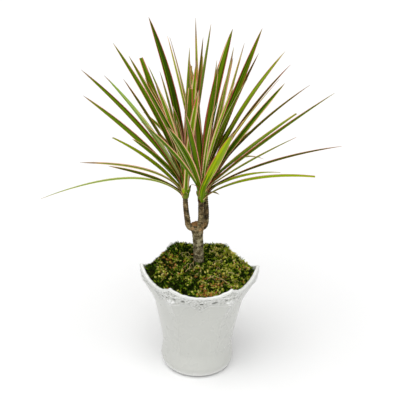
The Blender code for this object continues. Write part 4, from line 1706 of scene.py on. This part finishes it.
@dataclass
class Blade:
    """One sword leaf: a clasping base, a channelled blade in strips of colour and a needle tip."""

    form: LeafForm
    core_radius: float
    root: Vector
    tip: Vector
    seed: int
    dull_behind: float = 0.04
    steps: int = 22
    foot_steps: int = 8
    green_strips: int = 6
    root_share: float = 0.72
    full_width_at: float = 0.35
    point_powers: Pair = (3.9, 0.76)
    light: Point = (0.0, -1.0, 0.6)
    light_turn: float = 0.95
    turned_at: float = 0.5
    drop: float = 26 * MM
    clasp: float = 6.0 * MM
    widest_clasp: float = 1.35
    leave_by: float = 26 * MM
    leave_share: float = 0.3
    thickness: float = 0.45 * MM
    channel: Pair = (0.30, 0.10)
    cut_narrowing: float = 0.42
    sway: float = 0.012
    roll: float = 0.10
    twist: float = 0.28
    swap_chance: float = 0.22

    def columns(self) -> tuple[np.ndarray, list[Sequence[LeafTint]]]:
        """How the blade is divided into strips.

        Returns:
            The edges of the strips across the blade, -1 to 1, and each strip's tint choices.
        """
        middle, inner, margin = self.form.look.value
        greens = np.linspace(-middle[0], middle[0], self.green_strips + 1)
        edges = np.concatenate(([-1.0], greens[:1] - inner[0], greens, greens[-1:] + inner[0], [1.0]))
        tints = [margin[1], inner[1], *([middle[1]] * self.green_strips), inner[1], margin[1]]
        return edges, tints

    def axis(self, height: float) -> Vector:
        """The point of the head's axis at a height."""
        return Vector((*self.form.head.top[:2], height))

    def outward(self) -> Vector:
        """The level way from the head's axis to the tip."""
        x, y = self.form.head.top[:2]
        return Vector((self.tip.x - x, self.tip.y - y, 0.0)).normalized()

    def path(self) -> tuple[list[Vector], float]:
        """Works out the leaf's way from its clasping foot up the shoot and out to the tip.

        Returns:
            The points, and how far below its root the foot starts.
        """
        dice = random.Random(self.seed + 3)
        out = self.outward()
        floor = self.form.head.top[2] + 0.4 * MM
        drop = max(min(self.drop, self.root.z - floor), 0.5 * MM)
        hug = self.core_radius + dice.uniform(-0.3, 0.5) * MM
        low = self.axis(self.root.z - drop) + out * hug
        root = self.axis(self.root.z) + out * (hug + 0.5 * MM)
        chord = self.tip - root
        level = UP.cross(chord)
        over = chord.cross(level).normalized() if level.length > 1e-6 else -out
        sway = chord.cross(over).normalized() * dice.gauss(0, self.sway) * chord.length
        bend = root + chord * self.form.bend_at + over * (2 * self.form.arch) + sway
        free = min(self.leave_share, self.leave_by / max(chord.length, 1e-6))
        joint = bezier((root, bend, self.tip), free)
        before = bezier((root, bend, self.tip), free - 0.02)
        lead = joint - (joint - before).normalized() * self.leave_by * 0.45
        foot = [bezier((low, root, lead, joint), k / self.foot_steps) for k in range(self.foot_steps)]
        rest = [
            bezier((root, bend, self.tip), free + (1 - free) * (k / self.steps) ** 1.1)
            for k in range(self.steps + 1)
        ]
        return foot + rest, drop

    def breadth(self, place: float) -> float:
        """The width of the blade: narrow at the root, then full, then to a point.

        Args:
            place: The share of its length.

        Returns:
            The width there.
        """
        rise = self.root_share + (1 - self.root_share) * min(1.0, place / self.full_width_at)
        full = self.form.width * rise
        if self.form.cut:
            return full * (1 - self.cut_narrowing * place**4)
        return full * max(1 - place ** self.point_powers[0], 0.0) ** self.point_powers[1]

    def stations(self) -> list[Station]:
        """Works out the rings of the blade.

        Returns:
            The rings, from its foot to its tip.
        """
        path, drop = self.path()
        steps = [(after - before).length for before, after in zip(path, path[1:])]
        along = np.concatenate(([0.0], np.cumsum(steps)))
        level = self.outward().cross(UP)
        facing = level.cross(path[-1] - path[self.foot_steps])
        lit_side = 1.0 if facing.dot(Vector(self.light)) > 0 else -1.0
        dice = random.Random(self.seed)
        roll, twist = dice.gauss(0, self.roll), dice.gauss(0, self.twist)
        rings = []
        for k, (point, gone) in enumerate(zip(path, along)):
            place = max(0.0, (gone - drop) / (along[-1] - drop))
            ahead = heading(path, k)
            lean = lit_side * self.light_turn * min(1.0, place / self.turned_at)
            face = level.cross(ahead).normalized() + Vector(self.light) * lean
            face = (face - ahead * face.dot(ahead)).normalized()
            turn = roll * min(1.0, place / 0.3) + twist * place
            face = Matrix.Rotation(turn, 3, ahead) @ face
            held = 1 - float(smoothstep((gone - 0.4 * drop) / (0.6 * drop + 14 * MM)))
            half = max(self.breadth(place) / 2, 0.12 * MM)
            rings.append(Station(place, held, point, face, ahead.cross(face), half))
        return rings

    def grow(self, sheaf: Sheaf, numbers: dict[LeafTint, int]) -> None:
        """Adds the leaf's faces.

        Args:
            sheaf: Where they are gathered.
            numbers: Each tint's finish number.
        """
        edges, choices = self.columns()
        count = len(edges)
        loop = [*edges, *edges[-2:0:-1]]
        out = self.outward()
        side = out.cross(UP)
        rings = self.stations()
        points = []
        for ring in rings:
            channel = ring.half * (self.channel[0] * (1 - ring.place) + self.channel[1])
            axis = self.axis(ring.centre.z)
            reach = max((ring.centre - axis).dot(out), 1 * MM)
            for i, x in enumerate(loop):
                deep = self.thickness * (1 - x * x) if i >= count else 0.0
                rise = channel * (x * x - 0.35) - deep
                spot = ring.centre + ring.edge * (x * ring.half) + ring.face * rise
                if ring.held > 0:
                    turn = x * min(self.widest_clasp, self.clasp / reach)
                    far = reach + deep
                    held = axis + out * (far * math.cos(turn)) + side * (far * math.sin(turn))
                    spot = spot.lerp(held, ring.held)
                points.append(tuple(spot))
        size = len(loop)
        faces, slots = [], []
        rows = list(self._rows(rings, choices))
        for k, (tints, later) in enumerate(zip(rows, [*rows[1:], rows[-1]])):
            low, high = k * size, (k + 1) * size
            for i in range(size):
                j = (i + 1) % size
                above = i < count - 1
                strip = i if above else size - 1 - i
                shown = [row[strip] if above else self.beneath(row[strip], strip) for row in (tints, later)]
                now, then = (numbers[tint] for tint in shown)
                a, b, c, d = low + i, low + j, high + j, high + i
                if now == then:
                    faces.append((a, b, c, d))
                    slots.append(now)
                else:
                    faces += [(a, b, d), (b, c, d)] if (i + k) % 2 else [(a, b, c), (a, c, d)]
                    slots += [now, then]
        faces.append(list(range(size))[::-1])
        faces.append([(len(rings) - 1) * size + i for i in range(size)])
        slots += [numbers[LeafTint.SHEATH], numbers[LeafTint.DRY if self.form.cut else LeafTint.STRAW]]
        sheaf.add(np.array(points), faces, slots)

    def _rows(
        self, rings: Sequence[Station], choices: Sequence[Sequence[LeafTint]]
    ) -> Iterator[list[LeafTint]]:
        """Deals out the tints row by row: a strip keeps its own for a stretch, and the tip dries out.

        Args:
            rings: The blade's rings.
            choices: Each strip's tint choices.

        Yields:
            One tint for each strip.
        """
        dice = random.Random(self.seed + 7)
        tints = [dice.choice(choice) for choice in choices]
        last = len(choices) - 1
        dry_from = 0.90 if self.form.look is BladeLook.DRY else dice.uniform(0.95, 1.02)
        dry_from = 0.992 if self.form.cut else dry_from
        browned = dry_from - dice.uniform(0.03, 0.12)
        pale_above = [dice.uniform(0.30, 1.1) for _ in choices]
        darker_below = [dice.uniform(0.10, 0.36) for _ in choices]
        for ring, after in zip(rings, rings[1:]):
            place = (ring.place + after.place) / 2
            swap = dice.randrange(1, last)
            if dice.random() < self.swap_chance:
                tints[swap] = dice.choice(choices[swap])
            row = list(tints)
            if place > dry_from:
                row = [LeafTint.STRAW if dice.random() < 0.3 else LeafTint.DRY] * (last + 1)
            elif place > browned:
                row[1], row[last - 1] = row[0], row[last]
            else:
                for i, (above, below) in enumerate(zip(pale_above, darker_below)):
                    if ring.held > above and row[i] in GREENS:
                        row[i] = LeafTint.SHEATH
                    elif place < below:
                        row[i] = LOW_DOWN.get(row[i], row[i])
            yield row

    def beneath(self, tint: LeafTint, strip: int) -> LeafTint:
        """The tint of the underside: duller on every third leaf that points back.

        Args:
            tint: The tint of the strip above.
            strip: The strip's number.

        Returns:
            The tint below it.
        """
        if tint in GREENS and self.seed % 3 == 0 and self.tip.y > self.form.head.top[1] + self.dull_behind:
            return LeafTint.UNDER if strip % 2 else LeafTint.UNDER_DARK
        return tint

    def shell(self, extra: float, start: float = 0.0) -> BVHTree:
        """A search tree of a plain version of the free blade, thickened all round.

        Args:
            extra: By how much.
            start: The share of the length it starts from.

        Returns:
            The tree.
        """
        points = []
        rings = [ring for ring in self.stations() if ring.held < 0.2 and ring.place >= start]
        rings = [*rings[:-1:3], rings[-1]]
        for ring in rings:
            wide, deep = ring.edge * (ring.half + extra), ring.face * (0.6 * MM + extra)
            points += [ring.centre - wide + deep, ring.centre + wide + deep, ring.centre - deep * 2]
        return BVHTree.FromPolygons(points, ring_faces(len(rings), 3))


class Skyline:
    """What the marked leaves cover, seen from the photo's viewpoint, on a fine square grid."""

    def __init__(self, studio: Studio, cells: int = 900) -> None:
        """Starts with open sky.

        Args:
            studio: It knows the viewpoint.
            cells: How many cells the view has across.
        """
        self.view = np.array(studio.viewpoint().inverted())
        self.scale = studio.lens / studio.sensor * cells
        self.cells = cells
        self.covered = np.zeros((cells, cells), bool)

    def close_fan(self, middle: Point, reach: float, half_turn: float) -> None:
        """Counts the fan where the heads' leaves stand too close for sky to show.

        Args:
            middle: The point the fan spreads from.
            reach: Its radius in metres.
            half_turn: Half the angle it spans, in radians.
        """
        x, y, z = self.view[:3, :3] @ np.array(middle) + self.view[:3, 3]
        rows, columns = np.mgrid[0 : self.cells, 0 : self.cells]
        right = columns - (self.cells / 2 + x / -z * self.scale)
        up = self.cells / 2 - y / -z * self.scale - rows
        near = np.hypot(right, up) < reach / -z * self.scale
        self.covered |= near & (np.abs(np.arctan2(right, up)) < half_turn)

    def trace(self, blade: Blade) -> tuple[np.ndarray, np.ndarray]:
        """Finds the cells that a leaf covers.

        Args:
            blade: The leaf.

        Returns:
            Their rows and their columns.
        """
        rings = [ring for ring in blade.stations() if ring.held < 0.5]
        middle = np.array([tuple(ring.centre) for ring in rings])
        across = np.array([tuple(ring.edge * ring.half) for ring in rings])
        spots = [middle + across * share for share in (-1.0, -0.5, 0.0, 0.5, 1.0)]
        filled = []
        for row in spots:
            filled += [row[:-1] + (row[1:] - row[:-1]) * step for step in (0.0, 0.25, 0.5, 0.75)]
        points = np.concatenate(filled)
        seen = points @ self.view[:3, :3].T + self.view[:3, 3]
        flat = seen[:, :2] / -seen[:, 2:] * self.scale
        columns = np.clip(flat[:, 0] + self.cells / 2, 1, self.cells - 2).astype(int)
        rows = np.clip(self.cells / 2 - flat[:, 1], 1, self.cells - 2).astype(int)
        return rows, columns

    def cover(self, blade: Blade) -> None:
        """Counts a leaf, and the cells beside it, as no longer open.

        Args:
            blade: The leaf.
        """
        rows, columns = self.trace(blade)
        for down in (-1, 0, 1):
            for right in (-1, 0, 1):
                self.covered[rows + down, columns + right] = True

    def closed_by(self, blade: Blade) -> float:
        """The share of a leaf that would stand before open sky."""
        rows, columns = self.trace(blade)
        return 1.0 - float(self.covered[rows, columns].mean())


@dataclass
class Crown:
    """The three heads of leaves: the marked leaves, the rosette's rule, and fill by the same rule."""

    nodes: dict[str, bpy.types.Object]
    skyline: Skyline
    tier_names: tuple[str, ...] = ("lower", "middle", "top")
    tier_heights: tuple[float, ...] = (0.016, 0.017, 0.034)
    tier_radii: tuple[float, ...] = (0.0052, 0.0050, 0.0046)
    tier_elevations: tuple[float, ...] = (-25.0, 24.0, 56.0, 90.0)
    root_room: tuple[float, ...] = (5.5 * MM, 10.0 * MM, 18.0 * MM)
    lowest_root: float = 2.0 * MM
    root_depth: float = 2.6 * MM
    head_middle: float = 0.020
    leaf_width: float = 11.0 * MM
    leaves: int = 40
    length: float = 0.235
    length_swing: float = 0.08
    shortening: float = 0.15
    lowest: float = 8.0
    steepest: float = 84.0
    steepening: float = 0.8
    swing: float = 5.0
    head_turn: float = 2.1
    arches: Pair = (0.015, 0.035)
    side_sector: float = 0.55
    side_sector_below: float = 66.0
    front_sector: float = 0.45
    front_sector_below: float = 40.0
    view_sector: float = 0.25
    closed_fan: tuple[Point, float, float] = ((-0.010, 0.0, 0.312), 0.102, math.radians(56))
    sky_kept: float = 0.10
    shorter: tuple[float, ...] = (1.0, 0.86, 0.72)
    nudges: tuple[int, ...] = (0, 6, -6, 12, -12, 18, -18, 25, -25, 32, -32)
    fill_leaves: int = 52
    fill_length: float = 0.165
    fill_lowest: float = 22.0
    fill_steepening: float = 0.85
    front_fill: float = 0.3
    side_fill: float = 0.8
    steep_fill: float = 68.0
    clearance: float = 0.5 * MM
    fill_clearance: float = 0.2 * MM
    free_from: float = 0.25
    nudge_cost: float = 0.004
    mix: tuple[tuple[BladeLook, int], ...] = (
        (BladeLook.EDGED, 10),
        (BladeLook.BROAD, 3),
        (BladeLook.STRIPED, 4),
        (BladeLook.LIME, 1),
        (BladeLook.PALE, 1),
        (BladeLook.MUTED, 2),
    )
    scales: int = 9
    shoot_radius: float = 4.4 * MM
    seed: int = 5

    def root_of(self, head: Head, tip: Vector) -> tuple[int, Vector]:
        """The tier a leaf grows from and its root on that tier's core.

        Args:
            head: Its head.
            tip: Where its tip is.

        Returns:
            The tier's number and the root.
        """
        way = tip - (Vector(head.top) + UP * self.head_middle)
        rise = math.degrees(math.atan2(way.z, math.hypot(way.x, way.y)))
        tier = next((i for i in range(3) if rise < self.tier_elevations[i + 1]), 2)
        low, high = self.tier_elevations[tier], self.tier_elevations[tier + 1]
        share = min(max((rise - low) / (high - low), 0.0), 1.0)
        usable = self.tier_heights[tier] - self.root_room[tier] - self.lowest_root
        foot = Vector(head.top) + UP * (sum(self.tier_heights[:tier]) + GAP * (tier + 1))
        out = Vector((tip.x - foot.x, tip.y - foot.y, 0)).normalized()
        inside = self.tier_radii[tier] - self.root_depth
        return tier, foot + UP * (self.lowest_root + usable * share) + out * inside

    def rule(self, turn: int, count: int) -> Iterator[tuple[float, float, float]]:
        """The rosette's rule: each leaf a golden angle on and steeper than the last.

        Args:
            turn: The head's number.
            count: How many leaves it makes.

        Yields:
            Azimuth in radians, elevation in degrees and share of the full length.
        """
        for i in range(count):
            share = (i + 0.5) / count
            azimuth = i * GOLDEN_ANGLE + turn * self.head_turn
            spread = self.lowest + (self.steepest - self.lowest) * share**self.steepening
            elevation = spread + self.swing * math.sin(i * 2.7 + turn)
            change = self.length_swing * math.sin(i * 1.9 + 2 * turn) - self.shortening * share
            yield azimuth, elevation, 1 + change

    def candidates(self) -> Iterator[Candidate]:
        """Works out every leaf that may grow.

        Yields:
            The marked ones, the rule's, then the shorter fill.
        """
        dice = random.Random(self.seed)
        by_name = {head.name: head for head in HEADS}
        for leaf in MARKED_LEAVES:
            head, arch, width = by_name[leaf.head], leaf.arch * MM, leaf.width * MM
            tips = tuple(Vector((leaf.across, leaf.back + nudge, leaf.up)) * MM for nudge in self.nudges)
            yield Candidate(LeafForm(head, arch, width, leaf.look, leaf.cut, leaf.bend_at), tips)
        looks = [look for look, times in self.mix for _ in range(times)]
        bright = [look for look in looks if look is not BladeLook.MUTED]
        for turn, head in enumerate(HEADS):
            for azimuth, elevation, change in self.rule(turn, self.leaves):
                at_side = abs(math.sin(azimuth)) > self.side_sector and elevation < self.side_sector_below
                at_front = math.cos(azimuth) > self.front_sector and elevation < self.front_sector_below
                in_view = math.cos(azimuth) > self.view_sector and (turn + round(elevation)) % 3 == 0
                if not at_side and not at_front and not in_view:
                    look = dice.choice(bright if math.cos(azimuth) > 0 else looks)
                    yield self._by_rule(head, azimuth, elevation, self.length * change, self.leaf_width, look)
        for turn, head in enumerate(HEADS):
            for azimuth, elevation, change in self.rule(turn + 4, self.fill_leaves):
                length = self.fill_length * change * dice.uniform(0.75, 1.15)
                width = self.leaf_width * dice.uniform(0.6, 0.85)
                steep = self.fill_lowest + (elevation - self.lowest) * self.fill_steepening
                behind = math.cos(azimuth) < self.front_fill and abs(math.sin(azimuth)) < self.side_fill
                if behind or steep > self.steep_fill:
                    yield self._by_rule(head, azimuth, steep, length, width, dice.choice(looks), True)

    def _by_rule(
        self,
        head: Head,
        azimuth: float,
        elevation: float,
        length: float,
        width: float,
        look: BladeLook,
        fill: bool = False,
    ) -> Candidate:
        """Makes one of the rule's candidates.

        Args:
            head: Its head.
            azimuth: The way it points, in radians from the front.
            elevation: How far it rises, in degrees.
            length: Its length.
            width: Its width.
            look: Its colouring.
            fill: Whether it is fill.

        Returns:
            The candidate.
        """
        rise = math.radians(elevation)
        reach, up = length * math.cos(rise), length * math.sin(rise)
        middle = Vector(head.top) + UP * self.head_middle
        tips = tuple(
            middle + at_angle(azimuth + math.radians(nudge), reach * part, up * part)
            for part in self.shorter
            for nudge in self.nudges
        )
        arch = self.arches[0] * length + self.arches[1] * reach
        return Candidate(LeafForm(head, arch, width, look), tips, True, fill)

    def grow(self) -> dict[str, list[Blade]]:
        """Chooses the leaves' places, clear of the limbs and the other tiers, and fill of every leaf.

        Returns:
            Each head's leaves.
        """
        self.skyline.close_fan(*self.closed_fan)
        limbs = []
        for name in LIMB_NODES:
            mesh = self.nodes[name].data
            spots = [vertex.co.copy() for vertex in mesh.vertices]
            limbs.append(BVHTree.FromPolygons(spots, [tuple(face.vertices) for face in mesh.polygons]))
        taken: list[tuple[tuple[str, int], BVHTree]] = []
        spread: list[BVHTree] = []
        blades: dict[str, list[Blade]] = {head.name: [] for head in HEADS}
        for number, candidate in enumerate(self.candidates()):
            for blade, tier in self.by_sky(candidate, number):
                key = (candidate.form.head.name, tier)
                guard = blade.shell(self.fill_clearance if candidate.fill else self.clearance)
                others = [tree for other, tree in taken if candidate.fill or other != key]
                if any(guard.overlap(tree) for tree in limbs + others):
                    continue
                far = blade.shell(0.0, self.free_from)
                if candidate.by_rule and any(far.overlap(tree) for tree in spread):
                    continue
                spread.append(far)
                taken.append((key, blade.shell(0.0)))
                blades[candidate.form.head.name].append(blade)
                if not candidate.by_rule:
                    self.skyline.cover(blade)
                break
        return blades

    def by_sky(self, candidate: Candidate, number: int) -> list[tuple[Blade, int]]:
        """The blades a candidate may become, those that leave the sky open first.

        Args:
            candidate: The candidate.
            number: Its number.

        Returns:
            Each blade with its tier.
        """
        ways = []
        for place, tip in enumerate(candidate.tips):
            tier, root = self.root_of(candidate.form.head, tip)
            blade = Blade(candidate.form, self.tier_radii[tier], root, tip, self.seed * 1000 + number)
            closed = self.skyline.closed_by(blade) if candidate.by_rule else 0.0
            if closed < self.sky_kept:
                ways.append((round(closed, 2) + place * self.nudge_cost, place, blade, tier))
        return [(blade, tier) for _, _, blade, tier in sorted(ways, key=lambda way: way[:2])]

    def shoot(self, head: Head, sheaf: Sheaf, number: int) -> None:
        """Adds the green shoot that the leaves clasp, from the stem's top to its bud.

        Args:
            head: The head.
            sheaf: Where it is gathered.
            number: Its finish number.
        """
        sides, rings = 20, 9
        points = []
        height = sum(self.tier_heights) + 3 * GAP
        for k in range(rings):
            share = k / (rings - 1)
            thin = (1 - 0.25 * share) * (1.0 if share < 0.8 else 1 - (share - 0.8) * 3.6)
            for i in range(sides):
                turn = 2 * math.pi * i / sides
                wave = 1 + 0.05 * math.sin(turn * 3 + share * 30)
                spot = Vector(head.top) + at_angle(turn, self.shoot_radius * thin * wave, height * share)
                points.append(tuple(spot))
        faces = ring_faces(rings, sides, capped=True)
        sheaf.add(np.array(points), faces, [number] * len(faces))

    def old_bases(self, head: Head, turn: int) -> Iterator[Blade]:
        """The short, pointed bases that clasp the top of the stem below the leaves.

        Args:
            head: The head.
            turn: The head's number.

        Yields:
            Each base, as a small blade.
        """
        dice = random.Random(self.seed + 40 + turn)
        for i in range(self.scales):
            azimuth = i * GOLDEN_ANGLE + turn
            height = (0.8 + 6.5 * i / self.scales) * MM
            root = Vector(head.top) + at_angle(azimuth, self.tier_radii[0], height)
            length = dice.uniform(9, 17) * MM
            tip = root + at_angle(azimuth, length * dice.uniform(0.10, 0.26), length)
            look = dice.choice((BladeLook.EDGED, BladeLook.LIME, BladeLook.DRY, BladeLook.EDGED))
            yield Blade(
                LeafForm(head, 0.8 * MM, 6.5 * MM, look),
                self.tier_radii[0] - GAP,
                root,
                tip,
                self.seed * 77 + turn * 20 + i,
                steps=7,
                foot_steps=5,
                drop=3 * MM,
                leave_by=5 * MM,
                root_share=0.95,
                full_width_at=0.1,
                clasp=5.5 * MM,
            )

    def build(self) -> None:
        """Builds and dresses the leaves, one piece to a head."""
        blades = self.grow()
        finishes = [tint.value.make() for tint in LeafTint]
        numbers = {tint: i for i, tint in enumerate(LeafTint)}
        for turn, head in enumerate(HEADS):
            sheaf = Sheaf()
            self.shoot(head, sheaf, numbers[LeafTint.SHEATH])
            for blade in [*blades[head.name], *self.old_bases(head, turn)]:
                blade.grow(sheaf, numbers)
            piece = sheaf.join(f"leaves_{head.name}", finishes)
            LOG.info("%s head: %d leaves", head.name, len(blades[head.name]))
            settle(piece, "leaf", *(f"leaves_{head.name}_{tier}" for tier in self.tier_names))


# Studio


@dataclass
class Studio:
    """The pale floor, the soft lights and the camera at the photo's viewpoint."""

    eye: Point = (-0.003, -1.10, 0.747)
    tilt: float = math.radians(90 - 21.9)
    roll: float = math.radians(1.8)
    lens: float = 65.7
    sensor: float = 36.0
    floor_size: float = 30.0
    world: float = 0.42
    suns: tuple[tuple[str, Point, float, float], ...] = (
        ("overhead", (-0.20, -0.35, 1.0), 2.1, 60.0),
        ("front_fill", (0.9, -1.0, 0.9), 0.50, 90.0),
    )

    def floor(self) -> None:
        """Lays the floor."""
        half = self.floor_size / 2
        sheaf = Sheaf()
        corners = np.array(((-half, -half, 0.0), (half, -half, 0.0), (half, half, 0.0), (-half, half, 0.0)))
        sheaf.add(corners, [(0, 1, 2, 3)], [0])
        sheaf.join("studio_floor", (FloorFinish().make(),), smooth=False)

    def sun(self, name: str, towards: Point, strength: float, spread: float) -> None:
        """Adds one even, soft light over the whole floor.

        Args:
            name: Its name.
            towards: The way from the plant to the light.
            strength: Its strength in watts a square metre.
            spread: How wide the light looks, in degrees.
        """
        light = bpy.data.lights.new(name, "SUN")
        light.energy = strength
        light.angle = math.radians(spread)
        lamp = bpy.data.objects.new(name, light)
        lamp.rotation_euler = Vector(towards).to_track_quat("Z", "Y").to_euler()
        bpy.context.scene.collection.objects.link(lamp)

    def viewpoint(self) -> Matrix:
        """The camera's place and turn."""
        turn = Matrix.Rotation(self.tilt, 4, "X") @ Matrix.Rotation(self.roll, 4, "Z")
        return Matrix.Translation(self.eye) @ turn

    def camera(self) -> None:
        """Sets up the camera."""
        data = bpy.data.cameras.new("photo_camera")
        data.lens = self.lens
        data.sensor_width = self.sensor
        data.clip_start = 0.01
        camera = bpy.data.objects.new("photo_camera", data)
        camera.matrix_world = self.viewpoint()
        bpy.context.scene.collection.objects.link(camera)
        bpy.context.scene.camera = camera

    def build(self) -> None:
        """Sets up floor, world, lights and camera."""
        self.floor()
        world = bpy.data.worlds.new("studio")
        world.use_nodes = True
        backdrop = world.node_tree.nodes["Background"]
        backdrop.inputs["Color"].default_value = (1.0, 1.0, 1.0, 1.0)
        backdrop.inputs["Strength"].default_value = self.world
        bpy.context.scene.world = world
        bpy.context.scene.view_settings.view_transform = "Standard"
        for sun in self.suns:
            self.sun(*sun)
        self.camera()


def main() -> None:
    """Builds every piece in order."""
    logging.basicConfig(level=logging.INFO, format="%(name)s: %(message)s")
    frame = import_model()
    studio = Studio()
    studio.build()
    pot = Pot()
    pot.build()
    soil = frame["nodes"]["potting_soil"]
    soil.data.materials.clear()
    soil.data.materials.append(SoilFinish().make())
    Moss(pot).build()
    Limbs().build()
    Crown(frame["nodes"], Skyline(studio)).build()


if __name__ == "__main__":
    main()
